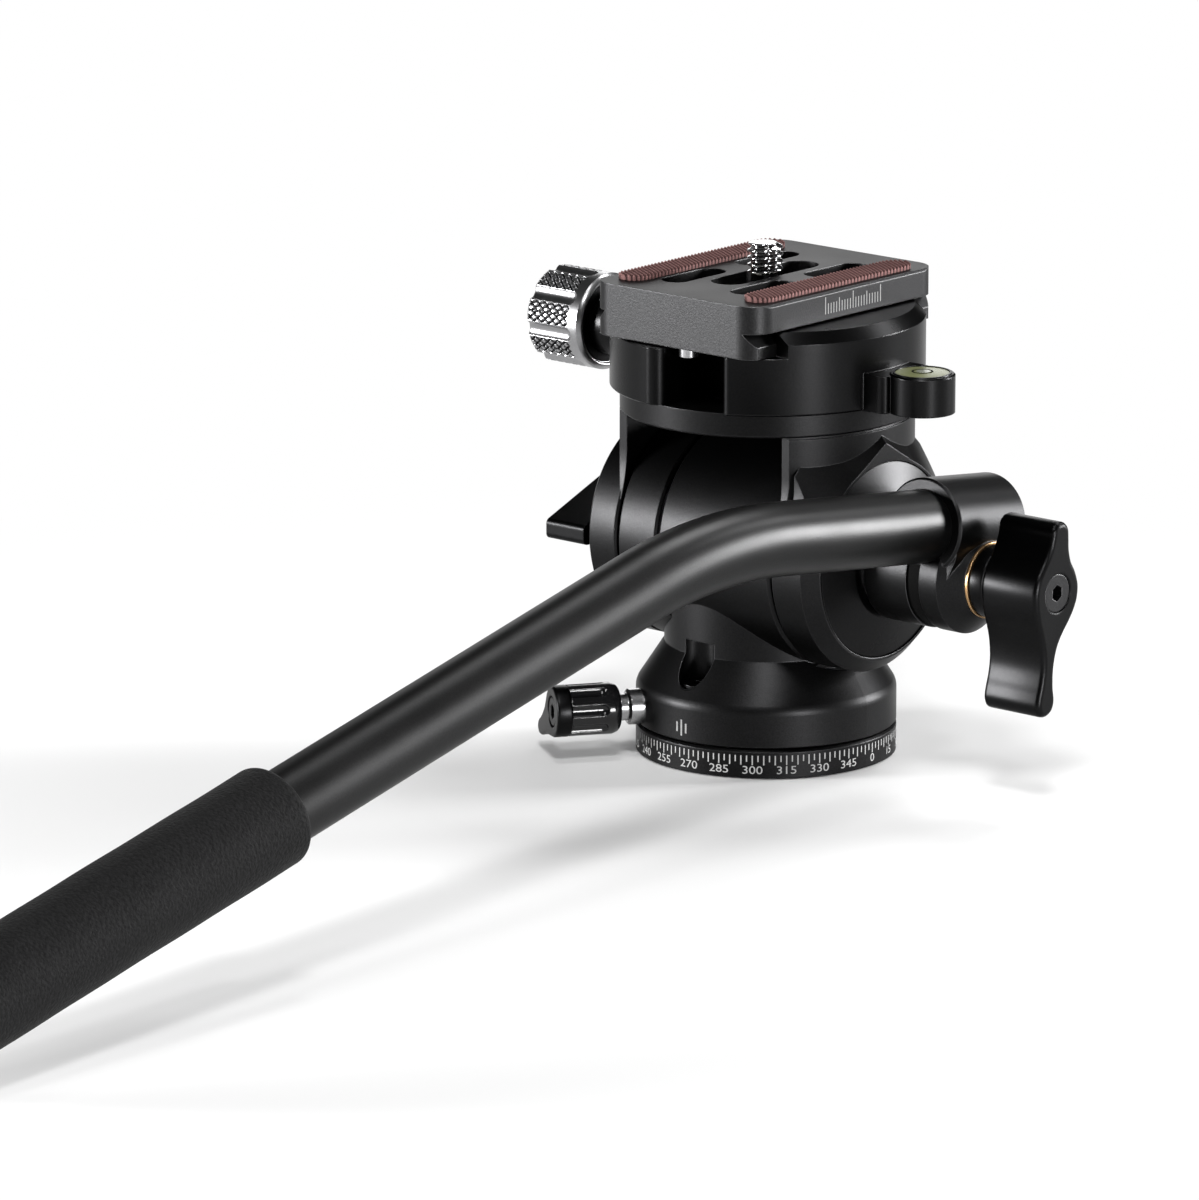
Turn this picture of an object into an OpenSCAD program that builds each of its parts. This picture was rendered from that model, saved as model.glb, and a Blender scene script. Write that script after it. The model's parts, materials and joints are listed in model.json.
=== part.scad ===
// Two-way fluid video head with a bent pan bar and a quick-release plate clamp.
// Units are millimetres. +Z is up, the tripod thread is at the origin, the operator
// stands at -Y, and the tilt axis runs along X with the pan bar on the +X side.

/* [Base and pan body] */
// Diameter of the graduated base and of the pan body above it
base_d = 46.2; // [42:0.2:52]
// Height of the graduated base
base_h = 5; // [4:0.1:7]
// Running gap between the base and the pan body
seam = 0.3; // [0.2:0.05:0.6]
// Wall radius of the 3/8 inch tripod thread, drawn at its minor diameter
thread_r = 4; // [3.9:0.02:4.1]
// Radius of the post that the pan body turns on
post_r = 9; // [8:0.1:10]
// Height of the straight wall of the pan body above the table
wall_top = 12.8; // [11.5:0.1:15]

/* [Tilt drum] */
// Height of the tilt axis above the table
tilt_z = 38.2; // [36:0.2:42]
// Radius of the tilt drum and of the two cheek discs
drum_r = 20.3; // [19:0.1:20.6]
// Half width of the drum
drum_half = 17.4; // [16.5:0.1:18]
// Distance of the drum seam from the middle
drum_seam_x = 8.3; // [7:0.1:10]
// Radius of the tilt shaft
shaft_r = 6; // [5.5:0.1:6.5]

/* [Yoke] */
// Diameter of the platform and of the two arms under it
yoke_d = 52; // [50:0.2:54]
// Height of the underside of the platform
platform_z = 61.6; // [61:0.1:64]
// Thickness of the platform
platform_h = 4.2; // [3.8:0.1:5]
// Gap between the drum and the cheeks
cheek_gap = 0.4; // [0.3:0.05:0.8]
// Half length of the flat-trimmed arms along Y
arm_half = 17.25; // [15:0.05:18]
// Thickness of the cheek discs
cheek_t = 6.8; // [6:0.1:7.5]

/* [Quick-release clamp] */
// Diameter of the clamp
clamp_d = 55.6; // [54:0.2:57]
// Height of the clamp wall up to the top face of its jaws
clamp_h = 14.6; // [14:0.1:15.6]
// Travel of the moving jaw
jaw_travel = 4; // [2:0.5:5]
// Radius of the knurled clamp knob
knob_r = 8.7; // [7:0.1:9.5]
// Length of the knurled clamp knob
knob_l = 12.7; // [10:0.1:15]
// Radius of the ear that holds the bubble level
ear_r = 5.75; // [5.4:0.05:6.5]

/* [Camera plate] */
// Length of the camera plate along Y
plate_l = 50; // [46:1:54]
// Width of the camera plate, the 38 mm dovetail standard
plate_w = 38; // [37:0.1:38.4]
// Thickness of the camera plate
plate_t = 9.4; // [9:0.1:10.4]
// Height of the full-width lip of the plate
lip_h = 4.9; // [4.6:0.1:5.4]
// Radius of the camera screw, 1/4 inch
screw_r = 3.175; // [3.175:0.005:3.175]
// Travel of the plate each way before a stop screw meets the clamp
plate_travel = 5; // [3:0.5:5]

/* [Pan bar] */
// Distance of the bar from the middle of the head
bar_x = 42; // [41.5:0.1:43]
// Radius of the bent tube
bar_r = 6.4; // [6:0.05:6.6]
// Wall of the bent tube
bar_wall = 1.2; // [1:0.1:1.5]
// Height of the bar above the tilt axis, measured over it
bar_lift = 8.75; // [8.2:0.05:9.2]
// Rise of the first stretch of the bar, degrees
bar_rise = 6.8; // [5:0.1:9]
// Fall of the second stretch of the bar, degrees
bar_fall = 13.2; // [11:0.1:14]
// Radius of the bend
bend_r = 105; // [80:1:120]
// Distance from the tilt axis to the corner of the bend
corner_s = 66; // [60:0.5:70]
// Distance from the end of the bend to the foam grip
grip_s = 85; // [75:0.5:88]
// Length of the foam grip
grip_l = 86; // [70:1:88]
// Radius of the foam grip
grip_r = 8.6; // [8.2:0.1:9]

/* [Knobs and levers] */
// Bearing of the pan lock around the base, degrees from +X
pan_lock_az = 235.5; // [225:0.5:245]
// Height of the pan lock above the table
pan_lock_z = 8.7; // [8.4:0.1:8.8]
// Radius of the pan lock knob
pan_knob_r = 4.6; // [4.2:0.1:5]
// Reach of the long wing of the handle knob
wing_reach = 21; // [17:0.5:23]
// Reach of the tilt lock lever
lever_reach = 18.5; // [15:0.5:21]

/* [Hidden] */
$fn = 96;
eps = 0.01;
run_fit = 0.05;         // radial clearance of shafts that turn
base_r = base_d / 2;
body_z = base_h + seam;
yoke_r = yoke_d / 2;
clamp_r = clamp_d / 2;
platform_top = platform_z + platform_h;
// pan post and its retainer
post_top = 19;
post_floor = post_top - 0.2;
retainer_t = 1.5;
bolt_r = 3;
bolt_head_h = 2.8;
pan_room_z = post_top + retainer_t + bolt_head_h + 0.3;
chamber_floor = 1.2;
// foot of the drum body: wall, round shoulder and cone up to the drum
cone_r1 = base_r - 5;
cone_z1 = wall_top + 6.9;
cone_a = atan2(3.6, 5.5);
shoulder_r = 3;
shoulder_x = base_r - shoulder_r;
shoulder_z = cone_z1 - (shoulder_r + cos(cone_a) * (shoulder_x - cone_r1)) / sin(cone_a);
carrier_r = base_r - 2.5;
carrier_top = wall_top - 0.5;
relief_r = drum_r + 0.6;
// screws that hold the drum body on the pan ring
foot_screw_az = 269;
foot_screw_rho = base_r - 4.9;
foot_screw_z = wall_top + 0.4;
// tilt cartridge
bore_r = min(14.4, tilt_z - pan_room_z - chamber_floor);
bush_r = shaft_r + 2;
bore_x1 = 7;
ring_wall = 4;
plate_pitch = 3.4;      // spacing of the drag discs
drag_t = 1.3;
cheek_x0 = drum_half + cheek_gap;
cheek_x1 = cheek_x0 + cheek_t;
cap_t = 2.5;
cap_x1 = cheek_x1 + cap_t;
face_r = drum_r - 2.4;   // flat rim round the end cap
cap_face_r = face_r - 0.6;
roof_a = 31;            // slope of the two chamfers that meet above the end cap
arm_fillet = 24;
cap_nose = 1.7;
rosette_r = 8.5;
cheek_screw_x = cheek_x0 + 2.9;
cheek_screw_y = sqrt(max(16, pow(yoke_r - 3.8, 2) - pow(cheek_screw_x, 2)));
boss_x0 = cap_x1 + cap_nose + 1.2;
boss_r = 10;
boss_x1 = boss_x0 + 16.5;
boss_x2 = boss_x1 + 3.7;
boss_end_r = 6.8;
groove_x = boss_x0 + 9.7;
groove_w = 2.9;
stud_r = 3;             // screw of the handle knob, M6
// clamp and plate
clamp_top = platform_top + clamp_h;
clamp_chamfer = 2;
plate_x = -0.4;
plate_y = -0.35;
plate_z1 = clamp_top + 0.3 + lip_h;
plate_z0 = plate_z1 - plate_t;
floor_z = plate_z0 - 0.2;
flange_half = plate_w / 2 - 1;
flange_h = 2.1;
notch = plate_t - lip_h - flange_h - 0.1;
grip_gap = 0.1;         // between the dovetail and the jaws, and under the moving jaw
gap_x0 = -1.9;          // opening between the jaws
gap_x1 = 10.5;
tongue_half = 15;
upright_half = 18.8;     // half length of the jaws above the plate floor
tongue_x0 = -8;
axis_z = platform_top + 6;   // clamp screw and guide pins
clamp_screw_r = 3;
pin_r = 2;
pin_y = 10;
boss_jaw_r = 6;
knob_x1 = -clamp_r - 8.7;
knob_x0 = knob_x1 - knob_l;
ear_x = clamp_r + 7.2;
ear_h = 6.9;
vial_r = ear_r - 1.5;
slot_half = 12.8;
slot_w = 6.9;
recess_w = 11.6;
recess_z = plate_z1 - 4.7;
screw_head_r = 5.2;
screw_neck_r = screw_r - 0.5;
screw_rise = 5.2;       // thread above the plate
stop_y = plate_l / 2 - 2.7;
stop_r = 1.7;
pad_x = 14.4;
pad_w = 5.8;
pad_l = 42;
pad_t = 1;
// bar
bar_bend = bar_rise + bar_fall;
bar_l1 = corner_s - bend_r * tan(bar_bend / 2);
bar_l2 = grip_s + grip_l - 2;
bar_in = bar_r - bar_wall;
bend_step = 0.02;       // the bend is drawn down by this much
socket_r = bar_r + 2;
socket_front = 8.3;
socket_back = 10.5;
bar_start = 6.6;
// knobs
wing_x0 = boss_x2 + 0.6;
wing_blade_x = wing_x0 + 2.2;
wing_x1 = wing_blade_x + 12.4;
wing_hub = 6;
lever_x0 = cheek_x1 + 0.6;
lever_x1 = lever_x0 + 10.4;
lever_hub = 7.3;
pan_knob_s0 = base_r + 4.2;
pan_knob_s1 = pan_knob_s0 + 11.9;
pan_collar_r = 3.2;
pan_screw_r = 2.2;
shoe_r = 2.6;
bearing_r = 16.4;
shoe_gap = 0.65;

// Places

// Frame along X on the tilt axis: local Z points to +X, local X points down
module on_tilt_axis(x) {
  translate([x, 0, tilt_z])
    rotate([0, 90, 0])
      children();
}

// Cylinder on the tilt axis between two X positions
module tilt_rod(r, x0, x1) {
  on_tilt_axis(x0)
    cylinder(r = r, h = x1 - x0);
}

// Cone frustum on the tilt axis
module tilt_cone(x0, r0, x1, r1) {
  on_tilt_axis(x0)
    cylinder(r1 = r0, r2 = r1, h = x1 - x0);
}

// Outline in the Y-Z plane, drawn about the tilt axis and pushed along X
module tilt_slab(x0, x1) {
  translate([x0, 0, tilt_z])
    rotate([90, 0, 90])
      linear_extrude(x1 - x0)
        children();
}

// Radial frame of the pan lock: local Z points out of the body
module on_pan_lock(s) {
  rotate([0, 0, pan_lock_az])
    translate([s, 0, pan_lock_z])
      rotate([0, 90, 0])
        children();
}

// Frame of the bar's first stretch: local Z runs out along the bar
module on_bar() {
  translate([bar_x, 0, tilt_z + bar_lift])
    rotate([90 - bar_rise, 0, 0])
      children();
}

// Frame of the bar's second stretch, after the bend
module past_bend() {
  on_bar()
    translate([0, -bend_r, bar_l1])
      rotate([bar_bend, 0, 0])
        translate([0, bend_r, 0])
          children();
}

// Rod along X at the height of the clamp screw
module clamp_rod(r, x0, x1, y) {
  translate([x0, y, axis_z])
    rotate([0, 90, 0])
      cylinder(r = r, h = x1 - x0);
}

// Socket screw head and shank, pointing down from the top of its head
module cap_screw(head_r, head_h, shank_r, shank_h) {
  difference() {
    union() {
      translate([0, 0, -head_h])
        cylinder(r = head_r, h = head_h);
      translate([0, 0, -head_h - shank_h])
        cylinder(r = shank_r, h = shank_h + eps);
    }
    translate([0, 0, -head_h * 0.6])
      cylinder(r = head_r * 0.52, h = head_h, $fn = 6);
  }
}

// Slot outline along Y with round ends
module slot(half, w) {
  square([w, 2 * half - w], center = true);
  for (s = [-1, 1])
    translate([0, s * (half - w / 2)])
      circle(d = w);
}

// Base and pan body

module base() {
  color("dimgray")
    difference() {
      union() {
        cylinder(r = base_r, h = base_h - 0.4);
        translate([0, 0, base_h - 0.4])
          cylinder(r1 = base_r, r2 = base_r - 0.4, h = 0.4);
        cylinder(r = post_r, h = post_top);
      }
      translate([0, 0, -1])
        cylinder(r = thread_r, h = 10.5);
      translate([0, 0, 11.5])
        cylinder(r = bolt_r, h = post_top);
    }
}

module pan_bolt() {
  color("silver")
    translate([0, 0, post_top + retainer_t + bolt_head_h])
      cap_screw(5, bolt_head_h, bolt_r, retainer_t + 6.5);
}

module pan_retainer() {
  color("silver")
    translate([0, 0, post_top])
      difference() {
        cylinder(r = 12, h = retainer_t);
        translate([0, 0, -1])
          cylinder(r = bolt_r, h = retainer_t + 2);
      }
}

module pan_bearing() {
  color("ivory")
    translate([0, 0, base_h])
      difference() {
        cylinder(r = bearing_r, h = seam + 0.6);
        translate([0, 0, -1])
          cylinder(r = 12.5, h = 4);
      }
}

// Holes that the pan lock makes through the ring and the bush
module pan_lock_holes() {
  on_pan_lock(post_r - 2)
    cylinder(r = shoe_r + run_fit, h = 11);
  on_pan_lock(post_r + 8)
    cylinder(r = pan_collar_r, h = base_r);
}

// Places of the two foot screws
module at_foot_screws(z) {
  for (k = [0, 1])
    rotate([0, 0, foot_screw_az + 180 * k])
      translate([foot_screw_rho, 0, z])
        children();
}

module pan_ring() {
  color("dimgray")
    difference() {
      rotate_extrude()
        polygon([[post_r + 1.5, body_z], [carrier_r, body_z], [carrier_r, carrier_top],
                 [post_r + 1.5, carrier_top]]);
      translate([0, 0, base_h])
        cylinder(r = bearing_r + 0.3, h = seam + 0.65);
      pan_lock_holes();
      at_foot_screws(body_z + 3)
        cylinder(r = 1.5, h = 20);
    }
}

module pan_bush() {
  color("goldenrod")
    difference() {
      translate([0, 0, body_z + 0.8])
        cylinder(r = post_r + 1.5, h = post_floor - body_z - 0.8);
      cylinder(r = post_r + run_fit, h = post_top + 5);
      pan_lock_holes();
    }
}

// Room for the post, its retainer and its bolt under the damping chamber
module pan_room() {
  translate([0, 0, post_floor])
    cylinder(r = 12.6, h = pan_room_z - post_floor);
}

module drum_body() {
  color("dimgray")
    difference() {
      union() {
        difference() {
          rotate_extrude() {
            polygon([[0, body_z], [base_r - 0.25, body_z], [base_r, body_z + 0.25], [base_r, shoulder_z],
                     [shoulder_x, shoulder_z],
                     [shoulder_x + shoulder_r * cos(cone_a), shoulder_z + shoulder_r * sin(cone_a)],
                     [cone_r1, cone_z1], [cone_r1, tilt_z], [0, tilt_z]]);
            translate([shoulder_x, shoulder_z])
              circle(r = shoulder_r);
          }
          tilt_rod(relief_r, drum_half, 60);
          tilt_rod(relief_r, -60, -drum_seam_x);
        }
        tilt_rod(drum_r - 0.8, -drum_seam_x, 0);
        tilt_cone(-drum_seam_x + 0.3, drum_r - 0.4, 0.7 - drum_seam_x, drum_r);
        tilt_rod(drum_r, 0.7 - drum_seam_x, drum_half - 0.5);
        tilt_cone(drum_half - 0.5, drum_r, drum_half, drum_r - 0.5);
      }
      translate([0, 0, wall_top - 1])
        cylinder(r = post_r + 1.5, h = post_floor - wall_top + 2);
      translate([0, 0, base_h])
        cylinder(r = carrier_r, h = carrier_top - base_h);
      pan_room();
      tilt_rod(bore_r, -drum_half, bore_x1);
      tilt_rod(bush_r, 0, drum_half + 1);
      pan_lock_holes();
      at_foot_screws(foot_screw_z)
        cylinder(r = 3.4, h = 9);
      at_foot_screws(wall_top - 1)
        cylinder(r = 1.7, h = 9);
    }
}

module foot_screws() {
  color("silver")
    at_foot_screws(foot_screw_z + 1.7)
      cap_screw(2.75, 1.7, 1.5, foot_screw_z - body_z - 3.5);
}

// Left part of the drum: the housing that closes the drag cartridge
module drum_ring() {
  color("dimgray")
    difference() {
      union() {
        tilt_cone(-drum_half, drum_r - 0.5, 0.5 - drum_half, drum_r);
        tilt_rod(drum_r, 0.5 - drum_half, -drum_seam_x - 0.7);
        tilt_cone(-drum_seam_x - 0.7, drum_r, -drum_seam_x - 0.3, drum_r - 0.4);
        tilt_rod(drum_r - 0.8, -drum_seam_x - 0.4, -drum_seam_x);
      }
      tilt_rod(bore_r, ring_wall - drum_half, 0);
      tilt_rod(bush_r, -drum_half - 1, 0);
      pan_room();
      translate([0, 0, wall_top])
        cylinder(r = 12.6, h = post_floor - wall_top + eps);
    }
}

module tilt_bushes() {
  color("goldenrod")
    for (x = [[-drum_half, ring_wall - drum_half], [bore_x1, drum_half]])
      difference() {
        tilt_rod(bush_r, x[0], x[1]);
        tilt_rod(shaft_r + run_fit, x[0] - 1, x[1] + 1);
      }
}

// Fixed drag discs: held at the rim, clear of the shaft
module drag_stators() {
  color("silver")
    for (k = [0 : 3])
      difference() {
        tilt_rod(bore_r, ring_wall - drum_half + plate_pitch * (k + 0.75),
                 ring_wall - drum_half + plate_pitch * (k + 0.75) + drag_t);
        tilt_rod(shaft_r + 0.8, -drum_half, bore_x1);
      }
}

module pan_lock_collar() {
  color("silver")
    difference() {
      union() {
        on_pan_lock(post_r + 8)
          cylinder(r = pan_collar_r, h = base_r + 2.2 - post_r - 8);
        on_pan_lock(base_r + 2.2)
          cylinder(r1 = pan_collar_r, r2 = pan_collar_r - 0.5, h = 0.4);
        on_pan_lock(base_r + 2.5)
          cylinder(r = pan_collar_r - 0.8, h = 1.4);
      }
      on_pan_lock(post_r)
        cylinder(r = pan_screw_r + run_fit, h = base_r);
    }
}

module pan_shoe() {
  color("goldenrod")
    on_pan_lock(post_r + shoe_gap)
      cylinder(r = shoe_r, h = 4);
}

module pan_lock_screw() {
  color("silver")
    on_pan_lock(post_r + shoe_gap + 4)
      cylinder(r = pan_screw_r, h = pan_knob_s1 - post_r - shoe_gap - 4 - 2);
}

// Fluted knob with a small wing across its outer end
module pan_lock_knob() {
  color("dimgray")
    on_pan_lock(0)
      difference() {
        union() {
          translate([0, 0, pan_knob_s0])
            cylinder(r1 = pan_knob_r - 0.9, r2 = pan_knob_r, h = 1.4);
          translate([0, 0, pan_knob_s0 + 1.4])
            cylinder(r = pan_knob_r, h = pan_knob_s1 - pan_knob_s0 - 1.4);
          translate([0, 0, pan_knob_s1 - 3])
            linear_extrude(3) {
              translate([2.7, -9.8])
                circle(r = 1.6);
              polygon([[-2.4, -3.6], [-0.9, -5.4], [0.6, -8], [1.2, -9.6], [4.2, -9.6], [4.1, -1], [0, 0]]);
            }
        }
        translate([0, 0, post_r])
          cylinder(r = pan_screw_r, h = pan_knob_s1 - post_r - 2);
        for (k = [0 : 7])
          rotate([0, 0, 45 * k + 10])
            translate([pan_knob_r + 0.35, 0, pan_knob_s0 + 2.2])
              cylinder(r = 1, h = pan_knob_s1 - pan_knob_s0 - 5.8);
      }
}

// Yoke

module tilt_shaft() {
  color("silver")
    difference() {
      tilt_rod(shaft_r, -cheek_x1 + 1, cheek_x1);
      tilt_rod(3 + run_fit, -cheek_x1, -drum_half + 6);
      tilt_rod(stud_r + run_fit, drum_half - 4, cheek_x1 + 1);
    }
}

// Turning drag discs: carried by the shaft, clear of the bore
module drag_rotors() {
  color("goldenrod")
    for (k = [0 : 3])
      difference() {
        tilt_rod(bore_r - 0.8, ring_wall - drum_half + plate_pitch * (k + 0.25),
                 ring_wall - drum_half + plate_pitch * (k + 0.25) + drag_t);
        tilt_rod(shaft_r, -drum_half, bore_x1);
      }
}

// Places of the screws that hang the cheeks under the platform
module at_cheek_screws(z) {
  for (sx = [-1, 1], sy = [-1, 1])
    translate([sx * cheek_screw_x, sy * cheek_screw_y, z])
      children();
}

module platform() {
  color("dimgray")
    difference() {
      union() {
        translate([0, 0, platform_z])
          cylinder(r1 = yoke_r - 0.3, r2 = yoke_r, h = 0.3);
        translate([0, 0, platform_z + 0.3])
          cylinder(r = yoke_r, h = platform_h - 0.3);
      }
      at_cheek_screws(platform_z - 1)
        cylinder(r = 1.7, h = 20);
      at_cheek_screws(platform_top - 2.4)
        cylinder(r = 3, h = 20);
      at_clamp_bolts(platform_z - 1)
        cylinder(r = 2, h = 20);
    }
}

// Side view of an arm: straight front and rear, each let into the disc by a fillet
module arm_outline() {
  f = arm_fillet;
  // the fillet ends a little inside the disc
  foot_r = drum_r - 0.12;
  cy = arm_half + f;
  cz = sqrt(pow(foot_r + f, 2) - pow(cy, 2));
  k = foot_r / (foot_r + f);
  translate([-arm_half, 0])
    square([2 * arm_half, platform_z - tilt_z]);
  for (s = [-1, 1])
    difference() {
      polygon([[s * (arm_half - 4), cz], [s * arm_half, cz], [s * (cy * k + 1.2), cz * k + 0.5], [s * cy * k, cz * k],
               [s * (cy * k - 4), cz * k]]);
      translate([s * cy, cz])
        circle(r = f);
    }
}

// One arm with its disc, drawn on the right
module cheek_blank(edge) {
  // arm: part of a vertical cylinder
  intersection() {
    translate([0, 0, tilt_z])
      cylinder(r = yoke_r, h = platform_z - tilt_z);
    tilt_slab(cheek_x0, yoke_r + 1)
      arm_outline();
  }
  tilt_cone(cheek_x0, drum_r - 0.4, cheek_x0 + 0.4, drum_r);
  tilt_rod(drum_r, cheek_x0 + 0.4, cheek_x1 - edge);
}

// Cone round the end cap, drawn up to a point by two sloping planes that leave it at a tangent
module pointed_chamfer() {
  k = (drum_r - face_r) / cap_t;
  x0 = cheek_x0 + 2.8;
  x1 = cap_x1 + 1;
  r0 = face_r + k * (cap_x1 - x0);
  r1 = face_r - k;
  sink = 0.08;
  tilt_cone(x0, r0, x1, r1);
  for (s = [0, 1])
    mirror([0, s, 0])
      intersection() {
        translate([0, 0, tilt_z])
          rotate([roof_a, 0, 0])
            translate([0, 16, 0])
              rotate([90, 0, 0])
                linear_extrude(16)
                  polygon([[x0, 0], [x0, r0 - sink], [x1, r1 - sink], [x1, 0]]);
        translate([0, -60, 0])
          cube([60, 60, 120]);
      }
}

// Bores and groove that both cheeks have
module cheek_cuts() {
  // a shallow groove under the platform
  difference() {
    translate([0, 0, platform_z - 0.35])
      cylinder(r = yoke_r + 5, h = 1);
    translate([0, 0, platform_z - 1])
      cylinder(r = yoke_r - 0.4, h = 2);
  }
  tilt_rod(shaft_r, 0, 60);
  at_cheek_screws(platform_z - 9)
    cylinder(r = 1.5, h = 20);
}

module cheek_right() {
  color("dimgray")
    difference() {
      union() {
        cheek_blank(0);
        intersection() {
          pointed_chamfer();
          union() {
            tilt_slab(cheek_x0 + 1, cap_x1)
              arm_outline();
            tilt_rod(drum_r, cheek_x1, cap_x1);
          }
        }
      }
      tilt_rod(cap_face_r + 0.15, cheek_x1, 60);
      cheek_cuts();
    }
}

module cheek_left() {
  color("dimgray")
    mirror([1, 0, 0])
      difference() {
        union() {
          cheek_blank(0.8);
          tilt_cone(cheek_x1 - 0.8, drum_r, cheek_x1, drum_r - 0.8);
        }
        // spot face: the arm stays clear of the lock lever
        tilt_rod(drum_r, cheek_x1, 60);
        cheek_cuts();
      }
}

module cheek_screws() {
  color("silver")
    at_cheek_screws(platform_top - 0.2)
      cap_screw(2.75, 2.2, 1.5, platform_h + 5);
}

// Conical cap that closes the right cheek and carries the rosette
module end_cap() {
  color("dimgray")
    difference() {
      union() {
        tilt_rod(cap_face_r, cheek_x1, cap_x1 - 0.2);
        tilt_cone(cap_x1 - 0.2, cap_face_r, cap_x1 + cap_nose, boss_r + 0.3);
      }
      tilt_rod(rosette_r, cap_x1 + cap_nose - 1.2, 60);
      tilt_rod(stud_r + 0.3, 0, 60);
    }
}

// Toothed ring that the handle clamp is pressed against
module rosette() {
  color("silver")
    difference() {
      tilt_rod(rosette_r, cap_x1 + cap_nose - 1.2, boss_x0 - 0.15);
      tilt_rod(stud_r + 0.3, 0, 60);
      for (k = [0 : 35])
        on_tilt_axis(boss_x0 - 0.15)
          rotate([0, 0, 10 * k])
            translate([rosette_r / 2 + 3, 0, 0])
              rotate([45, 0, 0])
                cube([rosette_r, 0.6, 0.6], center = true);
    }
}

module tilt_lock_screw() {
  color("silver")
    tilt_rod(3, -lever_x1 + 2, -drum_half + 5);
}

// Outline of the tilt lock lever: a round hub, its back drawn down to a blunt tip with a level underside
module lever_outline() {
  tip_r = 1;
  tip_x = tip_r - lever_reach;
  circle(r = lever_hub);
  for (z = [0, -1.7])
    translate([tip_x, z])
      circle(r = tip_r);
  polygon([[tip_x - 0.36 * tip_r, 0.93 * tip_r], [-0.35 * lever_hub, 0.94 * lever_hub], [0, 0],
           [-0.7 * lever_hub, -3.1], [tip_x, -2.7], [tip_x - tip_r, -1.7], [tip_x - tip_r, 0]]);
}

module tilt_lock_lever() {
  color("dimgray")
    difference() {
      union() {
        tilt_rod(6, -lever_x0 - 1.6, -lever_x0);
        tilt_slab(-lever_x1, -lever_x0 - 1.6)
          lever_outline();
      }
      tilt_rod(3, -lever_x1 + 2, 0);
    }
}

// Quick-release clamp

// Places of the two bolts that hold the clamp on the platform
module at_clamp_bolts(z) {
  for (s = [-1, 1])
    translate([gap_x1 - 4, s * pin_y, z])
      children();
}

// Round body shared by the two jaws, chamfered at the top
module clamp_round() {
  translate([0, 0, platform_top])
    rotate_extrude()
      polygon([[0, 0], [clamp_r - 0.3, 0], [clamp_r, 0.3], [clamp_r, clamp_h - clamp_chamfer],
               [clamp_r - clamp_chamfer, clamp_h], [0, clamp_h]]);
}

// Block between the clamp wall and the ear, with round outer corners
module ear_block() {
  translate([0, -6.4])
    square([8.8, 12.8]);
  translate([0, -5.2])
    square([10, 10.4]);
  for (s = [-1, 1])
    translate([8.8, s * 5.2])
      circle(r = 1.2);
}

// Dovetail room on the +X side of the plate, pushed along Y
module dovetail_room() {
  x0 = plate_x + flange_half + grip_gap;
  rotate([90, 0, 0])
    linear_extrude(2 * clamp_d, center = true)
      polygon([[-60, floor_z], [x0, floor_z], [x0, plate_z0 + flange_h], [x0 - notch, plate_z0 + flange_h + notch],
               [x0 - notch, plate_z1 + 10], [-60, plate_z1 + 10]]);
}

// Ends of the jaws beyond the uprights, above the plate floor
module upright_ends() {
  for (s = [-1, 1])
    translate([-clamp_d, s * (upright_half + clamp_r) - clamp_r, floor_z])
      cube([2 * clamp_d, clamp_d, 60]);
}

// What a round vertical edge of radius r takes off a jaw that ends at x on the given side of it
module edge_round(x, side, r) {
  cx = x + side * r;
  cy = sqrt(pow(clamp_r - r, 2) - pow(cx, 2));
  k = 1.2 * clamp_r / (clamp_r - r);
  for (s = [-1, 1])
    translate([0, 0, platform_top - 1])
      linear_extrude(60)
        difference() {
          polygon([[cx, s * cy], [x - 3 * side, s * cy], [x - 3 * side, s * (clamp_r + 3)], [cx * k, s * cy * k]]);
          translate([cx, s * cy])
            circle(r = r);
        }
}

module clamp_base() {
  color("dimgray")
    difference() {
      union() {
        intersection() {
          clamp_round();
          union() {
            translate([gap_x1, -clamp_d, 0])
              cube([clamp_d, 2 * clamp_d, 200]);
            translate([tongue_x0, -tongue_half, 0])
              cube([gap_x1 - tongue_x0 + 1, 2 * tongue_half, 200]);
          }
        }
        // ear of the bubble level with its neck
        translate([ear_x, 0, platform_top])
          cylinder(r = ear_r, h = ear_h - 0.3);
        translate([ear_x, 0, platform_top + ear_h - 0.3])
          cylinder(r1 = ear_r, r2 = ear_r - 0.3, h = 0.3);
        translate([clamp_r - 3, -4, platform_top])
          cube([ear_x - clamp_r + 3, 8, ear_h - 0.3]);
        translate([clamp_r - 6, 0, platform_top])
          linear_extrude(ear_h - 0.3)
            ear_block();
      }
      dovetail_room();
      upright_ends();
      edge_round(gap_x1, 1, 1.2);
      translate([ear_x, 0, platform_top + 2.9])
        cylinder(r = vial_r, h = 10);
      clamp_rod(clamp_screw_r + run_fit, tongue_x0 - 1, gap_x1 + 1, 0);
      for (s = [-1, 1])
        clamp_rod(pin_r, tongue_x0 - 1, 1, s * pin_y);
      at_clamp_bolts(0)
        cylinder(r = 2.1, h = 200);
      at_clamp_bolts(platform_top + 5)
        cylinder(r = 3.6, h = 200);
    }
}

module clamp_bolts() {
  color("silver")
    at_clamp_bolts(platform_top + 9)
      cap_screw(3.5, 4, 2, 5 + platform_h - 1);
}

module guide_pins() {
  color("silver")
    for (s = [-1, 1])
      clamp_rod(pin_r, 4 - clamp_r, 1, s * pin_y);
}

module level_vial() {
  color("yellowgreen")
    translate([ear_x, 0, platform_top + 2.9])
      cylinder(r = vial_r, h = ear_h - 2.9 - 0.1);
}

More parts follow.
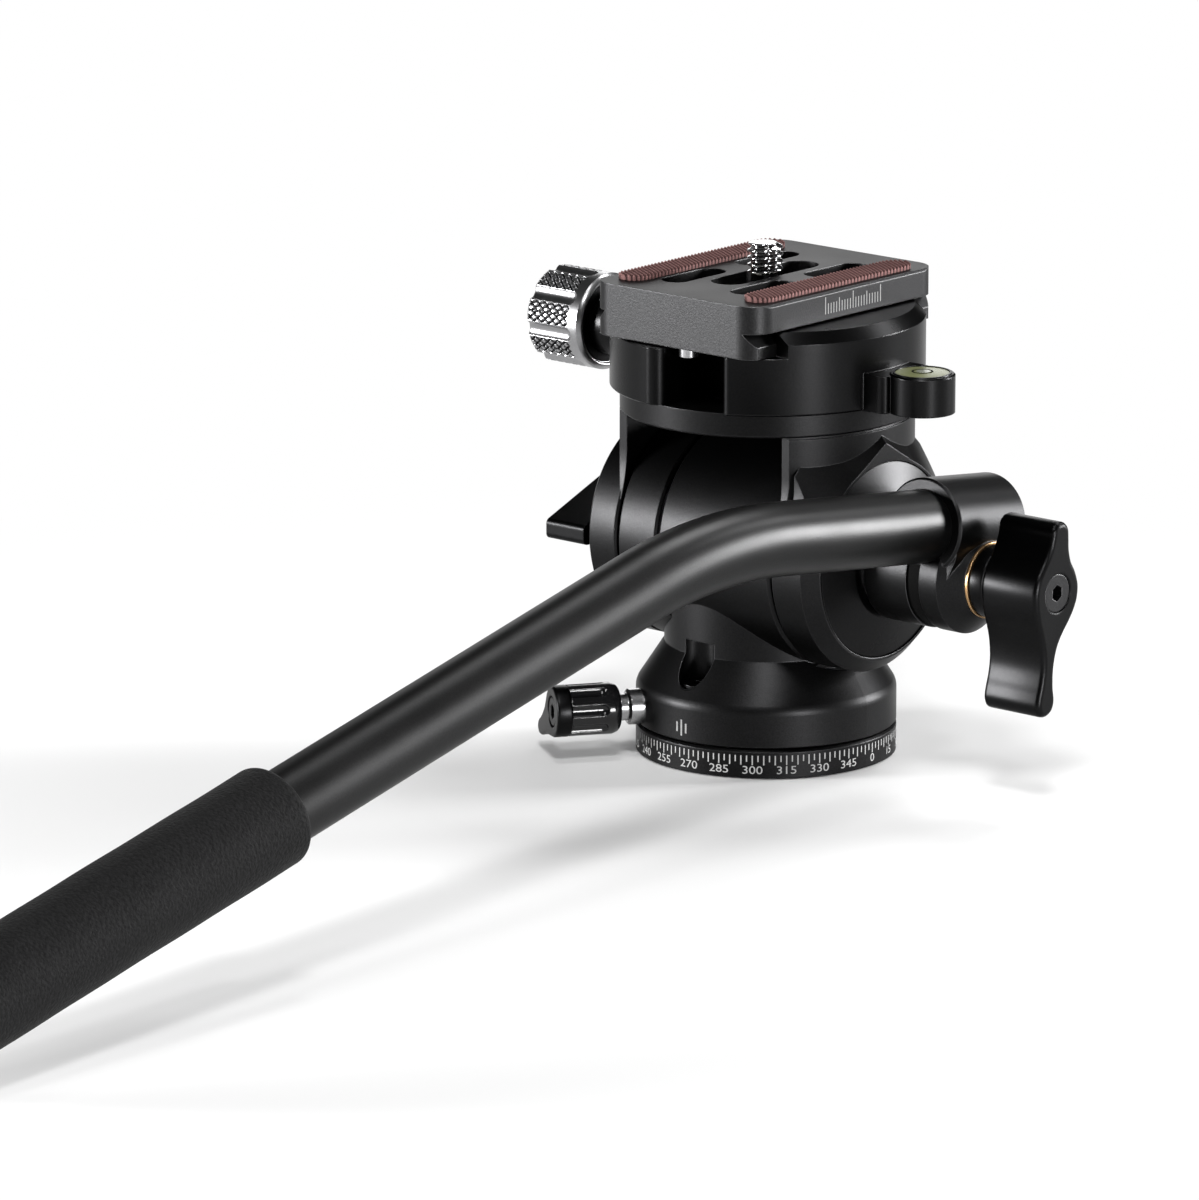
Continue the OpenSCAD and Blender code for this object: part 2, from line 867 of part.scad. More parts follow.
module clamp_jaw() {
  color("dimgray")
    difference() {
      union() {
        intersection() {
          clamp_round();
          translate([-clamp_d + gap_x0, -clamp_d, 0])
            cube([clamp_d, 2 * clamp_d, 200]);
        }
        clamp_rod(boss_jaw_r, knob_x1 + 0.4, 3 - clamp_r, 0);
      }
      translate([2 * plate_x, 0, 0])
        mirror([1, 0, 0])
          dovetail_room();
      upright_ends();
      edge_round(gap_x0, -1, 2.2);
      translate([tongue_x0 - 0.4, -tongue_half - 0.3, 0])
        cube([60, 2 * tongue_half + 0.6, 200]);
      translate([-clamp_d, -clamp_d, platform_top - 1])
        cube([2 * clamp_d, 2 * clamp_d, 1 + grip_gap]);
      clamp_rod(clamp_screw_r + run_fit, -80, 0, 0);
      for (s = [-1, 1])
        clamp_rod(pin_r + run_fit, 3 - clamp_r, 1, s * pin_y);
    }
}

module clamp_screw() {
  color("silver")
    clamp_rod(clamp_screw_r, knob_x0 + 3, gap_x1 - 2, 0);
}

module clamp_knob() {
  color("silver")
    difference() {
      union() {
        translate([knob_x0, 0, axis_z])
          rotate([0, 90, 0])
            cylinder(r1 = knob_r - 0.6, r2 = knob_r, h = 0.6);
        clamp_rod(knob_r, knob_x0 + 0.6, knob_x1 - 0.8, 0);
        translate([knob_x1 - 0.8, 0, axis_z])
          rotate([0, 90, 0])
            cylinder(r1 = knob_r, r2 = knob_r - 0.8, h = 0.8);
      }
      clamp_rod(clamp_screw_r, knob_x0 + 3, 0, 0);
      // smooth flutes between the knurled panels
      for (k = [0 : 7])
        translate([knob_x0 - 1, 0, axis_z])
          rotate([45 * k + 20, 0, 0])
            translate([0, 0, knob_r + 0.9])
              rotate([0, 90, 0])
                cylinder(r = 1.6, h = knob_l - 1.5);
    }
}

// Camera plate

// Cross-section of the plate in the X-Z plane
module plate_section() {
  w = plate_w / 2;
  f = flange_half;
  polygon([[-f, 0], [f, 0], [f, flange_h], [f - notch, flange_h + notch], [f - notch, plate_t - lip_h],
           [w, plate_t - lip_h], [w, plate_t - 0.4], [w - 0.4, plate_t], [0.4 - w, plate_t], [-w, plate_t - 0.4],
           [-w, plate_t - lip_h], [notch - f, plate_t - lip_h], [notch - f, flange_h + notch], [-f, flange_h]]);
}

module plate() {
  corner = 4.5;
  color("dimgray")
    translate([plate_x, plate_y, plate_z0])
      difference() {
        intersection() {
          rotate([90, 0, 0])
            linear_extrude(plate_l, center = true)
              plate_section();
          linear_extrude(plate_t)
            union() {
              square([plate_w - 2 * corner, plate_l], center = true);
              square([plate_w, plate_l - 2 * corner], center = true);
              for (sx = [-1, 1], sy = [-1, 1])
                translate([sx * (plate_w / 2 - corner), sy * (plate_l / 2 - corner)])
                  circle(r = corner);
            }
        }
        translate([0, 0, -1])
          linear_extrude(plate_t + 2)
            slot(slot_half, slot_w);
        translate([0, 0, -1])
          linear_extrude(recess_z - plate_z0 + 1)
            slot(slot_half + 2.4, recess_w);
        // lightening slots beside the pads
        for (sx = [-1, 1], sy = [-1, 1])
          translate([sx * 7.9, sy * 10, plate_t - 3])
            linear_extrude(4)
              slot(7.3, 5.4);
        for (s = [-1, 1])
          translate([1.5, s * stop_y, -1])
            cylinder(r = 1.2, h = 5);
      }
}

module plate_pads() {
  color("sienna")
    for (s = [-1, 1])
      translate([plate_x + s * pad_x, plate_y, plate_z1])
        linear_extrude(pad_t)
          slot(pad_l / 2, pad_w);
}

module stop_screws() {
  color("silver")
    for (s = [-1, 1])
      translate([plate_x + 1.5, plate_y + s * stop_y, plate_z0]) {
        translate([0, 0, -1.7])
          cylinder(r = stop_r, h = 1.7);
        cylinder(r = 1.2, h = 3.8);
      }
}

module screw_washer() {
  color("white")
    translate([plate_x, plate_y, recess_z - 0.8])
      difference() {
        cylinder(r = 5.5, h = 0.6);
        translate([0, 0, -1])
          cylinder(r = screw_neck_r + run_fit, h = 3);
      }
}

// 1/4 inch camera screw with a slotted, captive head under the plate
module camera_screw() {
  color("silver")
    translate([plate_x, plate_y, 0])
      difference() {
        union() {
          translate([0, 0, recess_z - 4])
            cylinder(r = screw_head_r, h = 3);
          translate([0, 0, recess_z - 2])
            cylinder(r = screw_neck_r, h = plate_z1 - recess_z + 3);
          translate([0, 0, plate_z1])
            cylinder(r = screw_r, h = screw_rise);
          translate([0, 0, plate_z1 + screw_rise])
            cylinder(r1 = screw_r, r2 = screw_r - 0.5, h = 0.5);
        }
        translate([-20, -0.7, recess_z - 5])
          cube([40, 1.4, 2.2]);
      }
}

// Pan bar

module handle_clamp() {
  color("dimgray")
    difference() {
      union() {
        tilt_cone(boss_x0, boss_r - 0.4, boss_x0 + 0.4, boss_r);
        tilt_rod(boss_r, boss_x0 + 0.4, boss_x1);
        tilt_cone(boss_x1, boss_r, boss_x2, boss_end_r);
        // socket of the bar, closed at the rear
        on_bar() {
          translate([0, 0, 0.8 - socket_back])
            cylinder(r = socket_r, h = socket_back + socket_front - 1.2);
          translate([0, 0, -socket_back])
            cylinder(r1 = socket_r - 0.8, r2 = socket_r, h = 0.8);
          translate([0, 0, socket_front - 0.4])
            cylinder(r1 = socket_r, r2 = socket_r - 0.4, h = 0.4);
        }
        // neck between the boss and the socket
        on_bar()
          translate([0, 0, 2 - socket_back])
            linear_extrude(socket_front + socket_back - 2.5)
              polygon([[-6, 0], [socket_r - 0.6, -2.4], [socket_r - 1.2, -5.4], [socket_r - 2.6, -bar_lift],
                       [-6, -bar_lift]]);
      }
      on_bar()
        translate([0, 0, -bar_start])
          cylinder(r = bar_r, h = 60);
      tilt_rod(stud_r + 0.2, 0, 90);
      difference() {
        tilt_rod(boss_r + 1, groove_x, groove_x + groove_w);
        tilt_rod(boss_r - 1.3, groove_x - 1, groove_x + groove_w + 1);
        translate([0, -30, tilt_z + 3.2])
          cube([90, 60, 60]);
      }
    }
}

// Dark ring seated in the groove of the clamp boss
module friction_ring() {
  color("black")
    difference() {
      tilt_rod(boss_r - 0.35, groove_x, groove_x + groove_w);
      tilt_rod(boss_r - 1.3, groove_x - 1, groove_x + groove_w + 1);
      translate([0, -30, tilt_z + 3.2])
        cube([90, 60, 60]);
    }
}

// Solid along the bent path: two straight rods and a bend a hair thinner that laps into both
module bent_rod(r, over) {
  lap = 0.5;
  on_bar() {
    translate([0, 0, -bar_start - over])
      cylinder(r = r, h = bar_l1 + bar_start + over);
    translate([0, -bend_r, bar_l1])
      rotate([-lap, 0, 0])
        rotate([90, 0, 90])
          rotate_extrude(angle = bar_bend + 2 * lap)
            translate([bend_r, 0])
              circle(r = r - bend_step);
  }
  past_bend()
    cylinder(r = r, h = bar_l2 + over);
}

module handle_bar() {
  color("dimgray")
    difference() {
      bent_rod(bar_r, 0);
      bent_rod(bar_in, 1);
      // notch under the tube: the screw of the wing knob passes here and keys the bar
      tilt_rod(stud_r + 0.3, 0, 90);
    }
}

module grip() {
  color("black")
    past_bend()
      translate([0, 0, grip_s])
        difference() {
          union() {
            cylinder(r1 = grip_r - 1.2, r2 = grip_r, h = 1.5);
            translate([0, 0, 1.5])
              cylinder(r = grip_r, h = grip_l - 1.5);
          }
          translate([0, 0, -1])
            cylinder(r = bar_r, h = grip_l + 2);
        }
}

module grip_cap() {
  color("black")
    past_bend()
      translate([0, 0, grip_s + grip_l]) {
        cylinder(r = grip_r - 0.2, h = 1.6);
        translate([0, 0, 1.6])
          cylinder(r1 = grip_r - 0.2, r2 = grip_r - 2, h = 1.6);
        translate([0, 0, -9])
          cylinder(r = bar_in, h = 9.5);
      }
}

module knob_washer() {
  color("gold")
    difference() {
      tilt_rod(boss_end_r - 0.1, boss_x2, wing_x0 - 0.1);
      tilt_rod(stud_r + 0.2, 0, 90);
    }
}

module wing_screw() {
  color("silver")
    difference() {
      union() {
        tilt_rod(stud_r, drum_half - 3, wing_x1 - 3);
        tilt_rod(3.3, wing_x1 - 3, wing_x1 - 0.2);
      }
      on_tilt_axis(wing_x1 - 2.2)
        cylinder(r = 1.5, h = 10, $fn = 6);
    }
}

// Outline of the wing knob: a hub, a short wing up and a long, slightly hooked wing down
module wing_outline() {
  w = wing_reach + 0.5;
  circle(r = wing_hub);
  polygon([[-5.2, 2.9], [-4.1, 4.4], [-2.6, 6.6], [-1.6, 8.9], [-1.2, 11], [-0.8, 11.7], [-0.1, 12.1], [1.9, 12.1],
           [2.8, 11.5], [3.3, 10.4], [3.3, 8], [3.6, 6], [4.3, 4.2], [5.1, 2.9], [0, -2]]);
  polygon([[-5.4, -2.6], [-5.1, -0.22 * w], [-4.5, -0.32 * w], [-3.9, -0.44 * w], [-3.7, -0.56 * w], [-3.8, -0.68 * w],
           [-4.4, -0.79 * w], [-5, -0.87 * w], [-4.9, -0.94 * w], [-4.2, -0.985 * w], [-3.2, -w], [-1.7, -0.985 * w],
           [-0.6, -0.94 * w], [-0.3, -0.88 * w], [-0.7, -0.72 * w], [-0.6, -0.58 * w], [0.1, -0.46 * w],
           [1.7, -0.35 * w], [3.6, -0.26 * w], [5, -3.2], [0, 2]]);
}

module wing_knob() {
  color("dimgray")
    difference() {
      union() {
        tilt_rod(wing_hub + 0.6, wing_x0, wing_blade_x);
        tilt_slab(wing_blade_x, wing_x1)
          wing_outline();
      }
      tilt_rod(stud_r, 0, wing_x1 - 3);
      tilt_rod(3.4, wing_x1 - 3, 90);
    }
}

base();
pan_bolt();
pan_retainer();
pan_bearing();
pan_ring();
pan_bush();
drum_body();
foot_screws();
drum_ring();
tilt_bushes();
drag_stators();
pan_lock_collar();
pan_shoe();
pan_lock_screw();
pan_lock_knob();
tilt_shaft();
drag_rotors();
platform();
cheek_left();
cheek_right();
cheek_screws();
end_cap();
rosette();
tilt_lock_screw();
tilt_lock_lever();
clamp_base();
clamp_bolts();
guide_pins();
level_vial();
clamp_jaw();
clamp_screw();
clamp_knob();
plate();
plate_pads();
stop_screws();
screw_washer();
camera_screw();
handle_clamp();
friction_ring();
handle_bar();
grip();
grip_cap();
knob_washer();
wing_screw();
wing_knob();
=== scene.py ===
import json
import math

import bpy
import numpy as np
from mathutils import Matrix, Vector


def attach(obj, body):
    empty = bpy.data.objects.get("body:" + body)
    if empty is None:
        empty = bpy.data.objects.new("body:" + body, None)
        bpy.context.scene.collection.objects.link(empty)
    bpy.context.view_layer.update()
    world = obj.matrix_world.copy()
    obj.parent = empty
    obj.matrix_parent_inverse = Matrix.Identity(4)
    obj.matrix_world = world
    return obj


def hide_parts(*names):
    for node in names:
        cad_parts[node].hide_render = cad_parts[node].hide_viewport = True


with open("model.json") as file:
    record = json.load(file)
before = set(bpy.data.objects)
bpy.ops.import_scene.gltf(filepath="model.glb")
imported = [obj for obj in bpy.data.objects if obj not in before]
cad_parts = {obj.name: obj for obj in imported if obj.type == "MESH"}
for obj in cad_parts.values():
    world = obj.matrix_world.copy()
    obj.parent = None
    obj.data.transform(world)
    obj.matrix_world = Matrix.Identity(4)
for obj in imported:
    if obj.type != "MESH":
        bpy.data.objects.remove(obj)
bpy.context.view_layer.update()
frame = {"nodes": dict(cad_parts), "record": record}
nodes = frame["nodes"]
mm = 0.001
tau = 2 * math.pi
print("frame loaded:", len(nodes), "nodes")


# quads of a grid of nu x nv points, closed round u or v where asked
def gridFaces(nu, nv, wrapU=False, wrapV=False):
    i, j = np.meshgrid(np.arange(nu if wrapU else nu - 1), np.arange(nv if wrapV else nv - 1), indexing="ij")
    i2, j2 = (i + 1) % nu, (j + 1) % nv
    return np.stack([i * nv + j, i2 * nv + j, i2 * nv + j2, i * nv + j2], -1).reshape(-1, 4)


# one smooth mesh object out of points, quads and flat end caps; faces that turn by more than sharpAngle
# meet sharply, and groove is the share of painted shade from 0 to 1 at each point
def putMesh(name, points, quads, material, body, caps=(), sharpAngle=40, groove=None):
    mesh = bpy.data.meshes.new(name)
    loops = [np.asarray(quads).ravel()] + [np.asarray(c) for c in caps]
    sizes = [np.full(len(quads), 4)] + [[len(c)] for c in caps]
    loops, sizes = np.concatenate(loops).astype(np.int32), np.concatenate(sizes).astype(np.int32)
    mesh.vertices.add(len(points))
    mesh.vertices.foreach_set("co", np.asarray(points, np.float32).ravel())
    mesh.loops.add(len(loops))
    mesh.loops.foreach_set("vertex_index", loops)
    mesh.polygons.add(len(sizes))
    mesh.polygons.foreach_set("loop_start", np.concatenate([[0], np.cumsum(sizes)[:-1]]).astype(np.int32))
    mesh.polygons.foreach_set("use_smooth", np.full(len(sizes), True))
    mesh.update(calc_edges=True)
    mesh.validate()
    if sharpAngle:
        mesh.set_sharp_from_angle(angle=math.radians(sharpAngle))
    if groove is not None:
        depth = mesh.attributes.new("groove", "FLOAT", "POINT")
        depth.data.foreach_set("value", np.asarray(groove, np.float32).ravel())
    mesh.materials.append(material)
    piece = bpy.data.objects.new(name, mesh)
    bpy.context.scene.collection.objects.link(piece)
    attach(piece, body)
    return piece


# an axis made unit, and two unit vectors square to it
def squareTo(axis):
    a = np.asarray(axis, float) / np.linalg.norm(axis)
    e1 = np.cross(a, [0, 0, 1] if abs(a[2]) < 0.9 else [1, 0, 0])
    e1 /= np.linalg.norm(e1)
    return a, e1, np.cross(a, e1)


# profile with its inner corners rounded: each corner becomes a curve between two points on its sides,
# a radius away from it but never past a share of a side
def roundProfile(corners, radius=0.2, steps=5, share=0.45):
    c = np.asarray(corners, float)
    out = [c[:1]]
    for k in range(1, len(c) - 1):
        a, b = c[k - 1] - c[k], c[k + 1] - c[k]
        reach = min(radius, share * np.linalg.norm(a), share * np.linalg.norm(b))
        p, q = c[k] + a / np.linalg.norm(a) * reach, c[k] + b / np.linalg.norm(b) * reach
        t = np.linspace(0, 1, steps)[:, None]
        out.append((1 - t) ** 2 * p + 2 * t * (1 - t) * c[k] + t ** 2 * q)
    return np.concatenate(out + [c[-1:]])


# lathe: a profile of (distance along the axis, radius) in mm swept round the axis; radius 0 ends close
# in a point, and wave may change the radius by angle and distance
def lathe(name, origin, axis, profile, material, body, turns=96, wave=None, **more):
    p = np.asarray(profile, float)
    a, e1, e2 = squareTo(axis)
    u = np.arange(turns) / turns * tau
    r = np.broadcast_to(p[None, :, 1], (turns, len(p)))
    if wave is not None:
        r = wave(u[:, None], p[None, :, 0], r)
    ring = np.cos(u)[:, None, None] * e1 + np.sin(u)[:, None, None] * e2
    points = (np.asarray(origin, float) + p[None, :, :1] * a + r[..., None] * ring) * mm
    quads = gridFaces(turns, len(p), wrapU=True)[:, ::-1]
    return putMesh(name, points.reshape(-1, 3), quads, material, body, **more)


def nodeTree(material):
    material.use_nodes = True
    tree = material.node_tree
    return tree, tree.nodes["Principled BSDF"]


def socketIn(group, name, kind, value):
    s = group.interface.new_socket(name, in_out="INPUT", socket_type=kind)
    s.default_value = value


# grain: fine noise for tone and bump and cloudy noise for roughness, both on object coordinates
def makeGrainGroup():
    g = bpy.data.node_groups.new("fineGrain", "ShaderNodeTree")
    socketIn(g, "Scale", "NodeSocketFloat", 3000.0)
    socketIn(g, "Cloud", "NodeSocketFloat", 60.0)
    g.interface.new_socket("Grain", in_out="OUTPUT", socket_type="NodeSocketFloat")
    g.interface.new_socket("Cloud", in_out="OUTPUT", socket_type="NodeSocketFloat")
    n, l = g.nodes, g.links
    inp, out = n.new("NodeGroupInput"), n.new("NodeGroupOutput")
    place = n.new("ShaderNodeTexCoord")
    fine, cloud = n.new("ShaderNodeTexNoise"), n.new("ShaderNodeTexNoise")
    fine.inputs["Detail"].default_value = 2.0
    cloud.inputs["Detail"].default_value = 3.0
    for noise, socket in ((fine, "Scale"), (cloud, "Cloud")):
        l.new(place.outputs["Object"], noise.inputs["Vector"])
        l.new(inp.outputs[socket], noise.inputs["Scale"])
    l.new(fine.outputs["Fac"], out.inputs["Grain"])
    l.new(cloud.outputs["Fac"], out.inputs["Cloud"])
    return g


# softened edges: the normal is rounded within a radius, and the mask shows where it turns
def makeEdgeGroup():
    g = bpy.data.node_groups.new("softEdge", "ShaderNodeTree")
    socketIn(g, "Radius", "NodeSocketFloat", 0.0002)
    socketIn(g, "Gain", "NodeSocketFloat", 3.0)
    g.interface.new_socket("Mask", in_out="OUTPUT", socket_type="NodeSocketFloat")
    g.interface.new_socket("Normal", in_out="OUTPUT", socket_type="NodeSocketVector")
    n, l = g.nodes, g.links
    inp, out = n.new("NodeGroupInput"), n.new("NodeGroupOutput")
    bevel, geo = n.new("ShaderNodeBevel"), n.new("ShaderNodeNewGeometry")
    bevel.samples = 6
    dot, turn, gain = n.new("ShaderNodeVectorMath"), n.new("ShaderNodeMath"), n.new("ShaderNodeMath")
    dot.operation, turn.operation, gain.operation = "DOT_PRODUCT", "SUBTRACT", "MULTIPLY"
    turn.inputs[0].default_value = 1.0
    gain.use_clamp = True
    l.new(inp.outputs["Radius"], bevel.inputs["Radius"])
    l.new(bevel.outputs["Normal"], dot.inputs[0])
    l.new(geo.outputs["Normal"], dot.inputs[1])
    l.new(dot.outputs["Value"], turn.inputs[1])
    l.new(turn.outputs[0], gain.inputs[0])
    l.new(inp.outputs["Gain"], gain.inputs[1])
    l.new(gain.outputs[0], out.inputs["Mask"])
    l.new(bevel.outputs["Normal"], out.inputs["Normal"])
    return g


grainGroup, edgeGroup = makeGrainGroup(), makeEdgeGroup()


# a finish: grain between two tones, cloudy roughness, a paler colour along edges that paints a highlight
# there, and a fine bump;
# edgeTint damps the reflection at grazing angles, and sheen is the soft glow of foam
def makeFinish(name, tone, tone2, edgeHighlight, roughness, spread=0.06, metallic=0.0, specular=0.5, grain=3000,
               cloud=60, bump=0.00001, edge=0.00025, highlightShare=0.5, grooveShadeTone=None, edgeTint=1.0, sheen=0.0):
    m = bpy.data.materials.new(name)
    tree, bsdf = nodeTree(m)
    n, l = tree.nodes, tree.links
    g, e = n.new("ShaderNodeGroup"), n.new("ShaderNodeGroup")
    g.node_tree, e.node_tree = grainGroup, edgeGroup
    g.inputs["Scale"].default_value, g.inputs["Cloud"].default_value = grain, cloud
    e.inputs["Radius"].default_value = edge
    tones = n.new("ShaderNodeMix")
    tones.data_type = "RGBA"
    tones.inputs["A"].default_value, tones.inputs["B"].default_value = (*tone, 1), (*tone2, 1)
    l.new(g.outputs["Grain"], tones.inputs["Factor"])
    # painted highlight: where the edge mask turns, the colour goes over to the paler edge tone
    edgeHighlightMix = n.new("ShaderNodeMix")
    edgeHighlightMix.data_type = "RGBA"
    edgeHighlightMix.inputs["B"].default_value = (*edgeHighlight, 1)
    amount = n.new("ShaderNodeMath")
    amount.operation = "MULTIPLY"
    amount.inputs[1].default_value = highlightShare
    l.new(e.outputs["Mask"], amount.inputs[0])
    l.new(amount.outputs[0], edgeHighlightMix.inputs["Factor"])
    l.new(tones.outputs["Result"], edgeHighlightMix.inputs["A"])
    bsdf.inputs["Specular Tint"].default_value = (edgeTint, edgeTint, edgeTint, 1)
    if grooveShadeTone is None:
        l.new(edgeHighlightMix.outputs["Result"], bsdf.inputs["Base Color"])
    else:  # the "groove" attribute of the mesh paints shade into grooves with a darker tone
        depth, grooveShade = n.new("ShaderNodeAttribute"), n.new("ShaderNodeMix")
        depth.attribute_name, grooveShade.data_type = "groove", "RGBA"
        grooveShade.inputs["B"].default_value = (*grooveShadeTone, 1)
        l.new(depth.outputs["Fac"], grooveShade.inputs["Factor"])
        l.new(edgeHighlightMix.outputs["Result"], grooveShade.inputs["A"])
        l.new(grooveShade.outputs["Result"], bsdf.inputs["Base Color"])
    rough = n.new("ShaderNodeMapRange")
    rough.inputs["To Min"].default_value = roughness - spread
    rough.inputs["To Max"].default_value = roughness + spread
    l.new(g.outputs["Cloud"], rough.inputs["Value"])
    l.new(rough.outputs["Result"], bsdf.inputs["Roughness"])
    b = n.new("ShaderNodeBump")
    b.inputs["Strength"].default_value, b.inputs["Distance"].default_value = 1.0, bump
    l.new(g.outputs["Grain"], b.inputs["Height"])
    l.new(e.outputs["Normal"], b.inputs["Normal"])
    l.new(b.outputs["Normal"], bsdf.inputs["Normal"])
    bsdf.inputs["Metallic"].default_value = metallic
    bsdf.inputs["Specular IOR Level"].default_value = specular
    bsdf.inputs["Sheen Weight"].default_value = sheen
    return m


# the edge colour of each finish is a paler tone painted along its edges as a highlight
finishValues = {
    "blackSatin": dict(tone=(0.009, 0.009, 0.0093), tone2=(0.020, 0.020, 0.0205), edgeHighlight=(0.15, 0.15, 0.155),
                       roughness=0.38, metallic=1.0, grain=3600, bump=0.000014, highlightShare=0.6, edgeTint=0.7),
    "plateSatin": dict(tone=(0.014, 0.014, 0.0144), tone2=(0.040, 0.040, 0.041), edgeHighlight=(0.3, 0.3, 0.305),
                       roughness=0.4, metallic=1.0, grain=3600, bump=0.00002, highlightShare=0.6, edgeTint=0.6),
    "barBlack": dict(tone=(0.021, 0.021, 0.021), tone2=(0.033, 0.033, 0.0334), edgeHighlight=(0.05, 0.05, 0.05),
                     roughness=0.37, metallic=1.0, grain=3200, bump=0.00001, highlightShare=0.1, edgeTint=0.7),
    "knobBlack": dict(tone=(0.008, 0.008, 0.0083), tone2=(0.014, 0.014, 0.0144), edgeHighlight=(0.045, 0.045, 0.045),
                      roughness=0.33, metallic=1.0, grain=3000, bump=0.000004, edge=0.0004, highlightShare=0.25,
                      edgeTint=0.7),
    "capBlack": dict(tone=(0.009, 0.009, 0.0093), tone2=(0.016, 0.016, 0.0164), edgeHighlight=(0.15, 0.15, 0.152),
                     roughness=0.29, metallic=1.0, grain=3600, bump=0.000006, highlightShare=0.5, edgeTint=0.7),
    "glossBlack": dict(tone=(0.003, 0.003, 0.0033), tone2=(0.006, 0.006, 0.0064), edgeHighlight=(0.03, 0.03, 0.03),
                       roughness=0.16, specular=0.45, grain=2000, bump=0.000001, edge=0.0003, highlightShare=0.2),
    "steel": dict(tone=(0.42, 0.42, 0.43), tone2=(0.54, 0.54, 0.55), edgeHighlight=(0.7, 0.7, 0.7), roughness=0.2,
                  metallic=1.0, grain=2500, bump=0.000002, edge=0.00015),
    "chrome": dict(tone=(0.5, 0.5, 0.51), tone2=(0.6, 0.6, 0.61), edgeHighlight=(0.7, 0.7, 0.7), roughness=0.13,
                   metallic=1.0, grain=2500, bump=0.000001, edge=0.00008, grooveShadeTone=(0.03, 0.03, 0.031)),
    "knurl": dict(tone=(0.22, 0.22, 0.225), tone2=(0.30, 0.30, 0.305), edgeHighlight=(0.4, 0.4, 0.4), roughness=0.3,
                  metallic=1.0, grain=2500, bump=0.000003, edge=0.00008, highlightShare=0.3,
                  grooveShadeTone=(0.012, 0.012, 0.012)),
    "darkSteel": dict(tone=(0.02, 0.02, 0.021), tone2=(0.03, 0.03, 0.031), edgeHighlight=(0.1, 0.1, 0.1),
                      roughness=0.28, metallic=1.0, grain=2500, bump=0.000002, edge=0.0002, edgeTint=0.6),
    "silver": dict(tone=(0.34, 0.34, 0.345), tone2=(0.44, 0.44, 0.445), edgeHighlight=(0.55, 0.55, 0.55),
                   roughness=0.25, metallic=1.0, grain=2500, bump=0.000003, edge=0.00012, highlightShare=0.3),
    "bronze": dict(tone=(0.44, 0.30, 0.14), tone2=(0.56, 0.40, 0.2), edgeHighlight=(0.7, 0.55, 0.3), roughness=0.35,
                   metallic=1.0),
    "brass": dict(tone=(0.40, 0.24, 0.11), tone2=(0.50, 0.31, 0.15), edgeHighlight=(0.6, 0.4, 0.22), roughness=0.38,
                  metallic=1.0, bump=0.000002),
    "slipWhite": dict(tone=(0.72, 0.70, 0.64), tone2=(0.8, 0.78, 0.72), edgeHighlight=(0.85, 0.84, 0.8),
                      roughness=0.5),
    "padRubber": dict(tone=(0.13, 0.066, 0.062), tone2=(0.19, 0.1, 0.095), edgeHighlight=(0.16, 0.085, 0.08),
                      roughness=0.8, specular=0.1, grain=2600, bump=0.00001, edge=0.0001, highlightShare=0.3,
                      grooveShadeTone=(0.014, 0.006, 0.006)),
    "ringRubber": dict(tone=(0.001, 0.001, 0.001), tone2=(0.003, 0.003, 0.003), edgeHighlight=(0.006, 0.006, 0.006),
                       roughness=0.7, specular=0.03),
    "foam": dict(tone=(0.0003, 0.0003, 0.0003), tone2=(0.0115, 0.0115, 0.0118), edgeHighlight=(0.012, 0.012, 0.012),
                 roughness=0.65, spread=0.08, specular=0.04, grain=1700, bump=0.00016, edge=0.0003, highlightShare=0.2,
                 sheen=0.018),
    "vialLiquid": dict(tone=(0.11, 0.12, 0.05), tone2=(0.16, 0.17, 0.08), edgeHighlight=(0.2, 0.2, 0.1),
                       roughness=0.3, specular=0.15, bump=0.0),
    "bubblePale": dict(tone=(0.17, 0.18, 0.15), tone2=(0.22, 0.23, 0.19), edgeHighlight=(0.3, 0.3, 0.25),
                       roughness=0.25, specular=0.3, bump=0.0),
    "printWhite": dict(tone=(0.25, 0.25, 0.25), tone2=(0.38, 0.38, 0.38), edgeHighlight=(0.4, 0.4, 0.4),
                       roughness=0.6, bump=0.000002),
    "printGrey": dict(tone=(0.16, 0.16, 0.16), tone2=(0.26, 0.26, 0.26), edgeHighlight=(0.3, 0.3, 0.3),
                      roughness=0.6, bump=0.000002),
}
# the groove tone of chrome, knurl and pad rubber is a darker colour painted into grooves as shade
finishes = {name: makeFinish(name, **values) for name, values in finishValues.items()}
slotFinish = {
    "black_anodised": "blackSatin", "black_plastic": "knobBlack", "steel": "steel",
    "bright_aluminium": "silver", "bronze": "bronze", "brass": "brass", "slip_washer": "slipWhite",
    "pad_rubber": "padRubber", "ring_rubber": "ringRubber", "grip_foam": "foam", "vial_liquid": "vialLiquid",
}
nodeFinish = {
    "handle_bar": "barBlack", "end_cap": "capBlack", "clamp_base": "capBlack", "clamp_jaw": "capBlack",
    "plate": "plateSatin", "wing_screw": "plateSatin", "foot_screws": "darkSteel",
}
for entry in frame["record"]["subparts"]:
    mesh = nodes[entry["node"]].data
    mesh.materials.clear()
    mesh.materials.append(finishes[slotFinish[entry["material_slot"]]])
for name, finish in nodeFinish.items():
    nodes[name].data.materials[0] = finishes[finish]
print("finishes on", len(nodes), "CAD nodes")


# Pan scale on the base and index on the wall above it
panScale = dict(radius=23.1, lift=0.02, top=4.1, ticks=144, longTick=1.7, shortTick=1.13, tickWidth=0.22,
                turn=4.1, numberStep=15, numberHeight=1.42, numberBase=0.78, numberStretch=1.24,
                indexAngle=-90.0, indexTop=9.2, indexGap=1.0, indexWidth=0.36, indexDrops=(0.5, 0.0, 0.6),
                indexLengths=(1.75, 2.9, 1.75))


